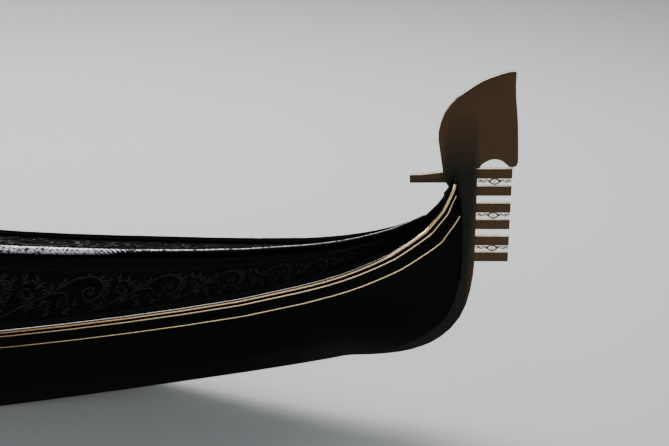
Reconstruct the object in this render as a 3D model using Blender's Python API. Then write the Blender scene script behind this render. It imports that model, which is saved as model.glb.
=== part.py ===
# A gondola: a flat-bottomed rowing boat with a decked bow and stern, an open passenger well,
# an iron prow comb and a rowlock post. Metres, +X to the bow, +Y to port, +Z up. The origin lies
# on the underside of the flat bottom, amidships, in the plane of the prow iron. The two sides
# differ: the port side is the fuller one, which balances the rower who stands to starboard.

import math

import bmesh
import bpy
import numpy as np

for old in list(bpy.data.objects):
    bpy.data.objects.remove(old, do_unlink=True)

# Clearance between two pieces that touch
GAP = 0.0003

# Lengths along the boat, which add up to its rail: after deck and what lies behind its tip,
# rowing platform, well, fore deck and what lies ahead of its tip. The origin lies in the well.
AFTDECK_TIP_BACK = 0.250
AFTDECK_L = 2.000
PLATFORM_L = 1.270
WELL_L = 4.330
FOREDECK_L = 2.380
FOREDECK_TIP_BACK = 0.100
ORIGIN_IN_WELL = 1.779

# How far a cutter reaches past what it cuts
CUT_PAST = 0.050

# The hull's lines are drawn on stations from 0, the after end of the rail, to 10, its fore end.
# Top edge of the sides: station, height, port and starboard half-breadth
SHEER = (
    (0.00, 1.719, 0.030, 0.030),
    (0.10, 1.555, 0.038, 0.036),
    (0.25, 1.392, 0.056, 0.051),
    (0.50, 1.200, 0.098, 0.082),
    (0.90, 1.020, 0.187, 0.151),
    (1.25, 0.927, 0.273, 0.223),
    (1.75, 0.831, 0.412, 0.327),
    (2.25, 0.757, 0.546, 0.424),
    (2.75, 0.704, 0.658, 0.500),
    (3.25, 0.669, 0.743, 0.553),
    (4.00, 0.641, 0.813, 0.591),
    (5.00, 0.630, 0.831, 0.595),
    (6.00, 0.633, 0.780, 0.561),
    (6.50, 0.639, 0.719, 0.526),
    (7.00, 0.648, 0.648, 0.486),
    (7.50, 0.666, 0.566, 0.437),
    (8.00, 0.698, 0.478, 0.382),
    (8.40, 0.739, 0.407, 0.336),
    (8.80, 0.790, 0.334, 0.285),
    (9.00, 0.818, 0.293, 0.255),
    (9.20, 0.848, 0.253, 0.221),
    (9.40, 0.887, 0.205, 0.179),
    (9.60, 0.942, 0.157, 0.141),
    (9.70, 0.981, 0.128, 0.115),
    (9.80, 1.029, 0.098, 0.089),
    (9.86, 1.068, 0.075, 0.068),
    (9.91, 1.103, 0.056, 0.052),
    (9.94, 1.137, 0.048, 0.046),
    (9.965, 1.170, 0.044, 0.043),
    (9.983, 1.199, 0.042, 0.042),
    (10.00, 1.240, 0.041, 0.041),
)

# Edge of the flat bottom: station, port and starboard half-breadth
CHINE = (
    (0.58, 0.014, 0.014),
    (0.90, 0.065, 0.052),
    (1.25, 0.129, 0.099),
    (1.75, 0.232, 0.176),
    (2.25, 0.329, 0.243),
    (2.75, 0.411, 0.294),
    (3.25, 0.471, 0.332),
    (4.00, 0.519, 0.361),
    (5.00, 0.533, 0.371),
    (6.00, 0.488, 0.353),
    (7.00, 0.383, 0.305),
    (8.00, 0.250, 0.212),
    (8.50, 0.178, 0.152),
    (9.00, 0.102, 0.092),
    (9.30, 0.061, 0.057),
    (9.58, 0.016, 0.016),
)

# Rise of the bottom towards each end: how far from the origin it starts, and its height at the tip
FLAT_FORE = 0.750
FLAT_AFT = 0.750
RISE_BOW = 0.450
RISE_STERN = 0.560
ROCKER_POWER = 1.5

# Leading edge of the wooden stem, between the bottom's forward tip and the stem head:
# share of the way forward, share of the way up, half-thickness in metres
STEM = (
    (0.000, 0.000, 0.016),
    (0.348, 0.047, 0.016),
    (0.596, 0.107, 0.017),
    (0.748, 0.172, 0.018),
    (0.865, 0.237, 0.019),
    (0.957, 0.321, 0.021),
    (1.009, 0.418, 0.023),
    (1.036, 0.541, 0.026),
    (1.045, 0.683, 0.029),
    (1.030, 0.851, 0.032),
    (1.000, 1.000, 0.035),
)
STEM_HEAD_FORWARD = 0.038
STEM_HEAD_Z = 1.225

# Trailing edge of the sternpost, from the bottom's after tip to its head, in the same way
STERNPOST = (
    (0.000, 0.000, 0.014),
    (0.301, 0.071, 0.015),
    (0.556, 0.180, 0.016),
    (0.752, 0.335, 0.018),
    (0.872, 0.508, 0.020),
    (0.940, 0.690, 0.023),
    (0.977, 0.854, 0.025),
    (1.000, 1.000, 0.026),
)
STERN_HEAD_AFT = 0.065
STERN_HEAD_Z = 1.660

# Planking, and the solid blocks at the two ends of the hull
BOTTOM_T = 0.024
PLANK_T = 0.018
SIDE_ROUND = 0.014
SIDE_LEVELS = (0.0, 0.25, 0.5, 0.75, 1.0)
BOW_BLOCK_L = 0.610
STERN_BLOCK_L = 0.920
BLOCK_TOP_DROP = 0.004
BLOCK_HEAD_BACK = 0.010

# Gunwale rail along the top of each side
RAIL_OUT = 0.011
RAIL_IN = 0.026
RAIL_H = 0.026
RAIL_ROUND = 0.006

# Decks
DECK_T = 0.014
DECK_CROWN = 0.006
RIDGE_W = 0.018
RIDGE_DEPTH = 0.012
ROPE_R_THICK = 0.016
ROPE_R_THIN = 0.009

# Ridge of each deck: share of the way from its well end to its tip, rise above the top edge
FORE_RIDGE = (
    (0.00, 0.225), (0.15, 0.207), (0.30, 0.179), (0.45, 0.148), (0.60, 0.119),
    (0.75, 0.098), (0.88, 0.077), (1.00, 0.058),
)
AFT_RIDGE = (
    (0.00, 0.185), (0.20, 0.158), (0.40, 0.126), (0.58, 0.097), (0.75, 0.070), (0.90, 0.050), (1.00, 0.042),
)

# Boards at the ends of the decks, the bulkheads, and the bow locker's door
END_BOARD_T = 0.020
END_BOARD_LIP = 0.012
CARVED_BOARD_T = 0.012
CARVED_BOARD_IN = 0.030
BULKHEAD_T = 0.018
FORE_DOOR_W = 0.340
FORE_DOOR_H = 0.230
FORE_DOOR_SILL = 0.220
DOOR_LAP = 0.020
DOOR_T = 0.014

# Rowing platform between the well and the after deck, its hatch, and the wedge for the rower's foot
PLATFORM_T = 0.022
HATCH_L = 0.420
HATCH_W = 0.520
HATCH_FROM_FORE = 0.370
HATCH_Y = 0.060
HATCH_LAP = 0.020
HATCH_T = 0.018
WEDGE_FROM_FORE = 0.760
WEDGE_L = 0.160
WEDGE_W = 0.300
WEDGE_H = 0.075
WEDGE_Y = 0.150

# Prow iron: a flat plate with a curved blade, forward teeth, and one tooth that points aft.
# The first tooth's upper root corner is given from the stem head.
IRON_T = 0.012
TEETH = 6
TOOTH_PITCH = 0.0762
TOOTH_H = 0.0445
TOOTH_ROOT_X = 0.060
TOOTH_ROOT_Z = 0.164
TOOTH_L = 0.136
TOOTH_RAKE = 0.045
TOOTH_LEAN = 0.038

# Blade outline, from the stem head: up the front from the notch over the first tooth to the tip
BLADE_FRONT = (
    (0.066, 0.166), (0.075, 0.182), (0.091, 0.195), (0.108, 0.204), (0.125, 0.207), (0.140, 0.205),
    (0.153, 0.200), (0.170, 0.187), (0.182, 0.176), (0.197, 0.175), (0.211, 0.182), (0.215, 0.200),
    (0.209, 0.275), (0.200, 0.366), (0.191, 0.425), (0.184, 0.472), (0.179, 0.525), (0.178, 0.567),
    (0.172, 0.573),
)
# and down the back from the tip, out along the back tooth and in again to the neck
BLADE_BACK = (
    (0.145, 0.569), (0.118, 0.560), (0.084, 0.546), (0.053, 0.531), (0.009, 0.499), (-0.033, 0.465),
    (-0.061, 0.431), (-0.083, 0.394), (-0.095, 0.356), (-0.102, 0.315), (-0.100, 0.277), (-0.092, 0.232),
    (-0.083, 0.181), (-0.076, 0.144), (-0.113, 0.137), (-0.163, 0.129), (-0.207, 0.126), (-0.205, 0.090),
    (-0.158, 0.092), (-0.108, 0.095), (-0.062, 0.097),
)

# Width of the iron shank that runs down the stem, and of its foot
SHANK_W = 0.056
SHANK_FOOT = 0.024
SHANK_TAPER_FROM = 0.55

# Pierced ornaments set between the teeth, counted from the top: which gap each one fills
ORNAMENT_GAPS = (1, 3, 5)
ORNAMENT_T = 0.005
ORNAMENT_BAND = 0.006
ORNAMENT_WAVES = 3
ORNAMENT_END = 0.003
ORNAMENT_LEAF = 0.016
ORNAMENT_STEPS = 24

# Iron band down the sternpost
STERN_BAND_T = 0.004
STERN_BAND_HALF = 0.012

# Inside of the well
FLOOR_LIFT = 0.050
FLOOR_T = 0.016
FLOOR_FORE_BACK = 0.180
FLOOR_AFT_BACK = 0.080
FLOOR_EDGE = 0.008
RIB_COUNT = 5
RIB_FROM_FLOOR_END = 0.530
RIB_W = 0.034
RIB_D = 0.030
RIB_TOP = 0.030

# Passengers' seat: a bench on the floor, its cushion, a carved back with a padded panel, two arms
SEAT_FROM_BULKHEAD = 0.056
SEAT_D = 0.580
SEAT_H = 0.300
SEAT_PORT = 0.540
SEAT_STAR = 0.370
SEAT_FOOT_IN_PORT = 0.150
SEAT_FOOT_IN_STAR = 0.080
SEAT_RAIL_H = 0.050
SEAT_BACK_T = 0.030
SEAT_BACK_H = 0.560
SEAT_BACK_RISE = 0.110
BACK_PAD_IN = 0.090
CUSHION_H = 0.100
PAD_T = 0.050
CUSHION_IN = 0.025
CUSHION_GAP = 0.012
ARM_T = 0.036
ARM_H = 0.240
ARM_L = 0.500

# Side chairs: side, share of the floor's length, how far the seat's back edge lies from the centre line
CHAIRS = (("port", 1, 0.549, 0.450), ("starboard", -1, 0.718, 0.300))
CHAIR_W = 0.430
CHAIR_D = 0.360
CHAIR_SEAT_H = 0.290
CHAIR_BACK_H = 0.340
CHAIR_POST = 0.032
CHAIR_SLAB = 0.030
CHAIR_LEAN = 0.060
CHAIR_ARM_H = 0.190
CHAIR_ARM_T = 0.024
CHAIR_RAIL_H = 0.070
CHAIR_RAIL_RISE = 0.030
CHAIR_SPLAT_T = 0.016
CHAIR_CUSHION_H = 0.050

# Rowlock post and the socket block that holds it, on the starboard side of the platform
SOCKET_FROM_FORE = 0.940
SOCKET_L = 0.220
SOCKET_W = 0.110
SOCKET_H = 0.070
SOCKET_OFF_RAIL = 0.004
SLOT_L = 0.072
SLOT_W = 0.044
SLOT_CLEAR = 0.0008
POST_BEVEL = 0.007
# The post's outline above its leg, from the foot of the fore edge round the head to the after edge
POST_LEG = 0.088
POST_OUTLINE = (
    (0.052, 0.017), (0.057, 0.062), (0.048, 0.132), (0.042, 0.192), (0.050, 0.242), (0.068, 0.287),
    (0.068, 0.330), (0.050, 0.372), (0.020, 0.410), (-0.014, 0.434), (-0.050, 0.436), (-0.074, 0.414),
    (-0.070, 0.388), (-0.040, 0.384), (-0.012, 0.360), (0.004, 0.326), (0.000, 0.296), (-0.018, 0.276),
    (-0.046, 0.268), (-0.078, 0.274), (-0.098, 0.264), (-0.098, 0.240), (-0.074, 0.214), (-0.052, 0.176),
    (-0.042, 0.128), (-0.048, 0.066), (-0.054, 0.017),
)

# Brass sea horses on the rails ahead of the seat, outline in shares of their height
HORSE_AHEAD_OF_SEAT = 0.854
HORSE_H = 0.240
HORSE_T = 0.018
HORSE_IN = 0.008
HORSE = (
    (-0.42, 0.00), (0.42, 0.00), (0.42, 0.06), (0.16, 0.09), (0.04, 0.18), (0.14, 0.27), (0.30, 0.36),
    (0.38, 0.48), (0.36, 0.60), (0.26, 0.69), (0.36, 0.74), (0.50, 0.70), (0.58, 0.66), (0.62, 0.71),
    (0.54, 0.80), (0.42, 0.88), (0.28, 0.95), (0.18, 1.00), (0.10, 0.93), (-0.02, 0.88), (-0.12, 0.78),
    (-0.20, 0.66), (-0.20, 0.54), (-0.12, 0.43), (-0.06, 0.36), (-0.18, 0.30), (-0.28, 0.22), (-0.26, 0.12),
    (-0.42, 0.06),
)


def smooth(rows, count):
    """Points on the smooth curve that runs through a table's rows."""
    rows = np.array(rows, float)
    step = np.linalg.norm(np.diff(rows[:, :2], axis=0), axis=1)
    t = np.concatenate([[0.0], np.cumsum(step)])
    slope = np.zeros_like(rows)
    d = np.diff(rows, axis=0) / step[:, None]
    slope[1:-1] = (d[:-1] * step[1:, None] + d[1:] * step[:-1, None]) / (step[1:] + step[:-1])[:, None]
    slope[0], slope[-1] = d[0], d[-1]
    at = np.linspace(0.0, t[-1], count)
    k = np.clip(np.searchsorted(t, at, side="right") - 1, 0, len(step) - 1)
    h = step[k][:, None]
    s = ((at - t[k]) / step[k])[:, None]
    a, b = rows[k], rows[k + 1]
    return ((2 * s**3 - 3 * s**2 + 1) * a + (s**3 - 2 * s**2 + s) * h * slope[k]
            + (3 * s**2 - 2 * s**3) * b + (s**3 - s**2) * h * slope[k + 1])


RAIL_TAIL = -(ORIGIN_IN_WELL + PLATFORM_L + AFTDECK_L + AFTDECK_TIP_BACK)
RAIL_TIP = WELL_L - ORIGIN_IN_WELL + FOREDECK_L + FOREDECK_TIP_BACK


def station_x(station):
    return RAIL_TAIL + station / 10 * (RAIL_TIP - RAIL_TAIL)


def placed(rows):
    """A table of stations with its first column turned into distances along the boat."""
    return [(station_x(row[0]),) + tuple(row[1:]) for row in rows]


BOTTOM_TAIL, BOTTOM_TIP = station_x(CHINE[0][0]), station_x(CHINE[-1][0])
BOW_JOINT = RAIL_TIP - BOW_BLOCK_L
STERN_JOINT = RAIL_TAIL + STERN_BLOCK_L
FOREDECK_TIP = RAIL_TIP - FOREDECK_TIP_BACK
FOREDECK_AFT = FOREDECK_TIP - FOREDECK_L
AFTDECK_TIP = RAIL_TAIL + AFTDECK_TIP_BACK
AFTDECK_FORE = AFTDECK_TIP + AFTDECK_L
PLATFORM_FORE = AFTDECK_FORE + PLATFORM_L


def hull_stations():
    """Sections that every long piece shares, so that neighbours keep their clearance."""
    marks = sorted({RAIL_TAIL, AFTDECK_TIP, BOTTOM_TAIL, STERN_JOINT, AFTDECK_FORE, PLATFORM_FORE,
                    -FLAT_AFT, FLAT_FORE, FOREDECK_AFT, BOW_JOINT, BOTTOM_TIP, FOREDECK_TIP, RAIL_TIP})
    xs = []
    for a, b in zip(marks[:-1], marks[1:]):
        ending = b > BOW_JOINT or a < STERN_JOINT
        pitch = 0.018 if b > FOREDECK_TIP else 0.05 if a < AFTDECK_TIP else 0.07 if ending else 0.22
        count = max(1, int(round((b - a) / pitch)))
        xs += [a + (b - a) * k / count for k in range(count)]
    return np.array(xs + [marks[-1]])


HULL_X = hull_stations()


def sampled(rows, count=900):
    """The smooth curve through a table, read at the hull's sections."""
    fine = smooth(rows, count)
    first, last = rows[0][0], rows[-1][0]
    xs = np.array([first] + [x for x in HULL_X if first < x < last] + [last])
    return np.stack([np.interp(xs, fine[:, 0], fine[:, k]) for k in range(fine.shape[1])], axis=1)


sheer = sampled(placed(SHEER))
chine = sampled(placed(CHINE))


def look(curve, x, column):
    return float(np.interp(x, curve[:, 0], curve[:, column]))


def sheer_z(x):
    return look(sheer, x, 1)


def sheer_y(x, side):
    """Signed breadth of the top edge: side is +1 to port and -1 to starboard."""
    return side * look(sheer, x, 2 if side > 0 else 3)


def chine_y(x, side):
    return side * look(chine, x, 1 if side > 0 else 2)


def rocker(x):
    if x > FLAT_FORE:
        return RISE_BOW * ((x - FLAT_FORE) / (BOTTOM_TIP - FLAT_FORE)) ** ROCKER_POWER
    if x < -FLAT_AFT:
        return RISE_STERN * ((-FLAT_AFT - x) / (-FLAT_AFT - BOTTOM_TAIL)) ** ROCKER_POWER
    return 0.0


KEEL_Z = np.array([rocker(x) for x in HULL_X])


def keel_z(x):
    return float(np.interp(x, HULL_X, KEEL_Z))


def ridge_curve(table, start, tip):
    rows = smooth(table, 120)
    xs = start + (tip - start) * rows[:, 0]
    order = np.argsort(xs)
    keep = np.array([x for x in HULL_X if min(start, tip) - 1e-6 < x < max(start, tip) + 1e-6])
    rise = np.interp(keep, xs[order], rows[order, 1])
    return np.stack([keep, [sheer_z(x) + r for x, r in zip(keep, rise)]], axis=1)


fore_ridge = ridge_curve(FORE_RIDGE, FOREDECK_AFT, FOREDECK_TIP)
aft_ridge = ridge_curve(AFT_RIDGE, AFTDECK_FORE, AFTDECK_TIP)


def post_curve(table, foot, head, count):
    """Edge of the stem or sternpost between its foot and its head: x, height, half-thickness."""
    rows = smooth(table, count)
    return np.stack([foot[0] + (head[0] - foot[0]) * rows[:, 0],
                     foot[1] + (head[1] - foot[1]) * rows[:, 1], rows[:, 2]], axis=1)


STEM_HEAD = (RAIL_TIP + STEM_HEAD_FORWARD, STEM_HEAD_Z)
STERN_HEAD = (RAIL_TAIL - STERN_HEAD_AFT, STERN_HEAD_Z)
stem = post_curve(STEM, (BOTTOM_TIP, RISE_BOW + 0.002), STEM_HEAD, 21)
sternpost = post_curve(STERNPOST, (BOTTOM_TAIL, RISE_STERN + 0.002), STERN_HEAD, 19)


def side_point(x, side, v):
    """Point on the outside of the planking: v is 0 at the chine and 1 at the top edge."""
    y = (1 - v) * chine_y(x, side) + v * sheer_y(x, side) + side * SIDE_ROUND * math.sin(math.pi * v)
    return y, (1 - v) * keel_z(x) + v * sheer_z(x)


def side_y_at(x, side, z):
    """Breadth of the planking's outside at a height, along the same facets as the plank."""
    pts = [side_point(x, side, v) for v in SIDE_LEVELS]
    return float(np.interp(z, [p[1] for p in pts], [p[0] for p in pts]))


def inner_y_at(x, side, z):
    return side_y_at(x, side, z) - side * PLANK_T


def stations(start, end):
    """The hull's sections from start to end, with both of these included."""
    lo, hi = min(start, end), max(start, end)
    xs = [lo] + [x for x in HULL_X if lo + 0.004 < x < hi - 0.004] + [hi]
    return xs if start < end else xs[::-1]


def material(name, colour, roughness, metallic=0.0):
    m = bpy.data.materials.get(name)
    if m is None:
        m = bpy.data.materials.new(name)
        m.use_nodes = True
        shader = m.node_tree.nodes["Principled BSDF"]
        shader.inputs["Base Color"].default_value = (*colour, 1.0)
        shader.inputs["Roughness"].default_value = roughness
        shader.inputs["Metallic"].default_value = metallic
        m.diffuse_color = (*colour, 1.0)
    return m


BLACK = ("black_lacquer", (0.012, 0.012, 0.013), 0.16, 0.0)
IRON = ("dark_iron", (0.16, 0.14, 0.12), 0.35, 1.0)
BRASS = ("brass", (0.62, 0.45, 0.20), 0.30, 1.0)
WOOD = ("walnut", (0.23, 0.11, 0.05), 0.40, 0.0)
FLOOR = ("floor_wood", (0.20, 0.13, 0.08), 0.60, 0.0)
RED = ("red_cloth", (0.42, 0.03, 0.03), 0.85, 0.0)


def finish(name, bm, look_of):
    """Turns a bmesh into a named object with its own material, faces pointing out."""
    bmesh.ops.remove_doubles(bm, verts=bm.verts, dist=1e-6)
    bmesh.ops.recalc_face_normals(bm, faces=bm.faces)
    mesh = bpy.data.meshes.new(name)
    bm.to_mesh(mesh)
    bm.free()
    ob = bpy.data.objects.new(name, mesh)
    kind, colour, roughness, metallic = look_of
    mesh.materials.append(material(name, colour, roughness, metallic))
    bpy.context.collection.objects.link(ob)
    return ob


def loft(name, rings, look_of):
    """Closed body through rings of equal count, with a cap at each end."""
    bm = bmesh.new()
    loops = [[bm.verts.new(p) for p in ring] for ring in rings]
    for a, b in zip(loops[:-1], loops[1:]):
        for i in range(len(a)):
            j = (i + 1) % len(a)
            bm.faces.new((a[i], a[j], b[j], b[i]))
    bm.faces.new(loops[0][::-1])
    bm.faces.new(loops[-1])
    return finish(name, bm, look_of)


def prism(name, outline, low, high, look_of, axes="xz"):
    """Outline drawn in one plane and extruded along the third axis from low to high."""
    place = {"xz": lambda p, d: (p[0], d, p[1]),
             "yz": lambda p, d: (d, p[0], p[1]),
             "xy": lambda p, d: (p[0], p[1], d)}[axes]
    bm = bmesh.new()
    face = bm.faces.new([bm.verts.new(place(p, low)) for p in outline])
    made = bmesh.ops.extrude_face_region(bm, geom=[face])
    shift = np.array(place((0, 0), high)) - np.array(place((0, 0), low))
    bmesh.ops.translate(bm, verts=[g for g in made["geom"] if isinstance(g, bmesh.types.BMVert)],
                        vec=tuple(shift))
    return finish(name, bm, look_of)


def block(name, low, high, look_of, bevel=0.0):
    bm = bmesh.new()
    bmesh.ops.create_cube(bm, size=1.0)
    for v in bm.verts:
        v.co = [low[i] + (v.co[i] + 0.5) * (high[i] - low[i]) for i in range(3)]
    if bevel:
        bmesh.ops.bevel(bm, geom=bm.edges[:], offset=bevel, segments=2, affect="EDGES", profile=0.5)
    return finish(name, bm, look_of)


def boolean(ob, tool, operation):
    """Joins or cuts an object with a hidden tool object."""
    tool.hide_render = True
    tool.display_type = "WIRE"
    mod = ob.modifiers.new(tool.name, "BOOLEAN")
    mod.operation = operation
    mod.solver = "EXACT"
    mod.object = tool
    return ob


def cut(ob, name, low, high):
    return boolean(ob, block(name, low, high, BLACK), "DIFFERENCE")


# Bottom: one plank that follows the rocker, between the two sides
rings = []
for x in stations(STERN_JOINT, BOW_JOINT):
    z = keel_z(x)
    port, star = inner_y_at(x, 1, z) - GAP, inner_y_at(x, -1, z) + GAP
    rings.append([(x, star, z), (x, port, z), (x, port, z + BOTTOM_T), (x, star, z + BOTTOM_T)])
loft("hull_bottom", rings, BLACK)


# Sides: one curved plank each, from the chine to the rail
def build_side(name, side):
    rings = []
    for x in stations(STERN_JOINT, BOW_JOINT):
        outer = [(x, *side_point(x, side, v)) for v in SIDE_LEVELS]
        inner = [(x, y - side * PLANK_T, z) for _, y, z in outer]
        rings.append(outer + inner[::-1])
    loft(name, rings, BLACK)


build_side("hull_side_port", 1)
build_side("hull_side_starboard", -1)


# Solid ends of the hull: the stem and the sternpost with the deadwood behind them
def end_grid(end_curve, joint, top_end):
    """Bottom and top points of the solid end of the hull, from its joint outwards."""
    low = [(x, keel_z(x), abs(chine_y(x, 1)), abs(chine_y(x, -1)))
           for x in np.linspace(joint, end_curve[0][0], 6)[:-1]]
    low = np.array(low + [(p[0], p[1], p[2], p[2]) for p in end_curve])
    high = np.array([(x, sheer_z(x) - BLOCK_TOP_DROP, abs(sheer_y(x, 1)), abs(sheer_y(x, -1)))
                     for x in stations(joint, top_end)])

    def travel(c):
        return np.concatenate([[0], np.cumsum(np.linalg.norm(np.diff(c[:, :2], axis=0), axis=1))])

    s_low, s_high = travel(low), travel(high)
    u = s_low / s_low[-1] * s_high[-1]
    return low, np.stack([np.interp(u, s_high, high[:, k]) for k in range(4)], axis=1)


def build_end(name, end_curve, joint, sign, top_end):
    low, high = end_grid(end_curve, joint + sign * GAP, top_end)
    rings = []
    for i, (a, b) in enumerate(zip(low, high)):
        port, star = [], []
        fade = 1.0 - i / (len(low) - 1)
        for v in SIDE_LEVELS:
            x = (1 - v) * a[0] + v * b[0]
            z = (1 - v) * a[1] + v * b[1]
            bulge = SIDE_ROUND * math.sin(math.pi * v) * fade
            port.append((x, (1 - v) * a[2] + v * b[2] + bulge, z))
            star.append((x, -((1 - v) * a[3] + v * b[3] + bulge), z))
        rings.append(port + star[::-1])
    loft(name, rings, BLACK)


build_end("stem_block", stem, BOW_JOINT, 1, RAIL_TIP - BLOCK_HEAD_BACK)
build_end("stern_block", sternpost, STERN_JOINT, -1, RAIL_TAIL + BLOCK_HEAD_BACK)


# Gunwale rails: a rounded moulding that caps each side
def rail_inner(x, side):
    return min(RAIL_IN, abs(sheer_y(x, side)) - RIDGE_W - GAP)


def build_rail(name, side):
    rings = []
    r = RAIL_ROUND
    for i, x in enumerate(HULL_X):
        inner = rail_inner(x, side)
        lo, hi = HULL_X[max(i - 1, 0)], HULL_X[min(i + 1, len(HULL_X) - 1)]
        stretch = math.hypot(1.0, (sheer_z(hi) - sheer_z(lo)) / (hi - lo))
        y, z = sheer_y(x, side), sheer_z(x) + GAP
        section = [(-inner, 0.0), (RAIL_OUT - r, 0.0), (RAIL_OUT, r), (RAIL_OUT, RAIL_H - r),
                   (RAIL_OUT - r, RAIL_H), (-inner, RAIL_H)]
        rings.append([(x, y + side * a, z + u * stretch) for a, u in section])
    loft(name, rings, BLACK)


build_rail("gunwale_port", 1)
build_rail("gunwale_starboard", -1)


def deck_edge(x, side):
    return sheer_y(x, side) - side * (rail_inner(x, side) + GAP)


# Deck panels: one each side of the ridge, from the ridge down to the rail
def build_deck(name, side, ridge, start, end):
    rings = []
    for x in stations(start, end):
        z_edge, z_mid = sheer_z(x) + GAP + DECK_T, look(ridge, x, 1)
        y0 = side * (RIDGE_W / 2 + GAP)
        y1 = side * max(abs(deck_edge(x, side)), abs(y0) + 0.004)
        top = []
        for v in (0.0, 0.33, 0.67, 1.0):
            z = (1 - v) * z_mid + v * z_edge + DECK_CROWN * math.sin(math.pi * v)
            top.append((x, (1 - v) * y0 + v * y1, z))
        rings.append(top + [(px, py, pz - DECK_T) for px, py, pz in top[::-1]])
    loft(name, rings, BLACK)


# Ridge moulding: a round moulding on a square root between the deck panels
def build_ridge(name, ridge, start, end):
    """Start is the thick end at the well, end the thin one at the tip."""
    rings = []
    w = RIDGE_W / 2
    for x in stations(start, end):
        f = (x - start) / (end - start)
        r = (1 - f) * ROPE_R_THICK + f * ROPE_R_THIN
        z = look(ridge, x, 1)
        base = z + GAP + 0.002
        ring = [(w, z - RIDGE_DEPTH), (w, base)]
        for k in range(7):
            a = math.radians(-20 + k * 220 / 6)
            ring.append((r * math.cos(a), base + r * 0.6 + r * math.sin(a)))
        ring += [(-w, base), (-w, z - RIDGE_DEPTH)]
        rings.append([(x, a, u) for a, u in ring])
    loft(name, rings, BLACK)


build_deck("foredeck_port", 1, fore_ridge, FOREDECK_AFT, FOREDECK_TIP)
build_deck("foredeck_starboard", -1, fore_ridge, FOREDECK_AFT, FOREDECK_TIP)
build_ridge("foredeck_ridge", fore_ridge, FOREDECK_AFT, FOREDECK_TIP)
build_deck("aftdeck_port", 1, aft_ridge, AFTDECK_FORE, AFTDECK_TIP)
build_deck("aftdeck_starboard", -1, aft_ridge, AFTDECK_FORE, AFTDECK_TIP)
build_ridge("aftdeck_ridge", aft_ridge, AFTDECK_FORE, AFTDECK_TIP)


# Prow iron: one flat plate, cut to the blade, the teeth and the shank
def tooth_corner(n, along, down):
    """A point of tooth n (from 0): along it from its root, and down from its top face."""
    x = STEM_HEAD[0] + TOOTH_ROOT_X + TOOTH_LEAN * (TOOTH_PITCH * n + down) + along
    z = STEM_HEAD[1] + TOOTH_ROOT_Z - TOOTH_PITCH * n + along * TOOTH_RAKE - down
    return x, z


def iron_outline():
    at_head = [[(STEM_HEAD[0] + a, STEM_HEAD[1] + b) for a, b in table] for table in (BLADE_FRONT, BLADE_BACK)]
    pts = at_head[0][::-1]
    for n in range(TEETH):
        pts += [tooth_corner(n, 0.0, 0.0), tooth_corner(n, TOOTH_L, 0.0),
                tooth_corner(n, TOOTH_L, TOOTH_H), tooth_corner(n, 0.0, TOOTH_H)]
    last = pts[-1]
    edge = stem[::-1]
    outer, inner = [], []
    for i, p in enumerate(edge):
        q = edge[min(i + 1, len(edge) - 1)] - edge[max(i - 1, 0)]
        t = q[:2] / np.linalg.norm(q[:2])
        n = np.array([-t[1], t[0]])
        f = max(0.0, i / (len(edge) - 1) - SHANK_TAPER_FROM) / (1 - SHANK_TAPER_FROM)
        inner.append(tuple(p[:2] + n * GAP))
        outer.append(tuple(p[:2] + n * (SHANK_W + (SHANK_FOOT - SHANK_W) * f)))
    pts += [p for p in outer if p[1] < last[1] - 0.01]
    return pts + inner[::-1] + at_head[1][::-1]


prism("prow_iron", iron_outline(), -IRON_T / 2, IRON_T / 2, IRON)


# Ornaments between the teeth: a thin waved band that carries a pointed leaf in its middle
def ornament_outline(n):
    gap_h = TOOTH_PITCH - TOOTH_H - 2 * GAP
    half, mid, top, low = ORNAMENT_BAND / 2, TOOTH_L / 2, [], []
    for k in range(ORNAMENT_STEPS + 1):
        a = ORNAMENT_END + k * (TOOTH_L - 2 * ORNAMENT_END) / ORNAMENT_STEPS
        d = abs(a - mid)
        leaf = max(0.0, (gap_h / 2 - half) * (1 - d / ORNAMENT_LEAF))
        swing = (gap_h / 2 - half) * math.cos((a - mid) * 2 * ORNAMENT_WAVES * math.pi / TOOTH_L)
        centre = TOOTH_H + GAP + gap_h / 2 - (swing if d > ORNAMENT_LEAF else 0.0)
        top.append(tooth_corner(n, a, centre - half - leaf))
        low.append(tooth_corner(n, a, centre + half + leaf))
    return top + low[::-1]


for count, gap_no in enumerate(ORNAMENT_GAPS, 1):
    prism("prow_ornament_%d" % count, ornament_outline(gap_no - 1), -ORNAMENT_T / 2, ORNAMENT_T / 2, IRON)

# Stern iron: a thin band down the trailing edge of the sternpost
rings = []
for i, p in enumerate(sternpost):
    q = sternpost[min(i + 1, len(sternpost) - 1)] - sternpost[max(i - 1, 0)]
    t = q[:2] / np.linalg.norm(q[:2])
    n = np.array([-t[1], t[0]])
    near, far = p[:2] + n * GAP, p[:2] + n * (GAP + STERN_BAND_T)
    h = STERN_BAND_HALF
    rings.append([(near[0], -h, near[1]), (near[0], h, near[1]), (far[0], h * 0.8, far[1]),
                  (far[0], -h * 0.8, far[1])])
loft("stern_iron", rings, IRON)


def hull_outline(xs, top, inset=GAP, lift=GAP):
    """Inside of the hull for a board between two sections, from port top down and up to starboard."""
    z0 = max(keel_z(x) for x in xs) + BOTTOM_T + lift
    levels = [side_point(xs[0], 1, v)[1] for v in SIDE_LEVELS]
    zs = [z0] + [z for z in levels if z0 + 0.01 < z < top - 0.01] + [top]

    def half(side, z):
        return side * (min(abs(inner_y_at(x, side, z)) for x in xs) - inset)

    return [(half(1, z), z) for z in zs[::-1]] + [(half(-1, z), z) for z in zs]


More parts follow.
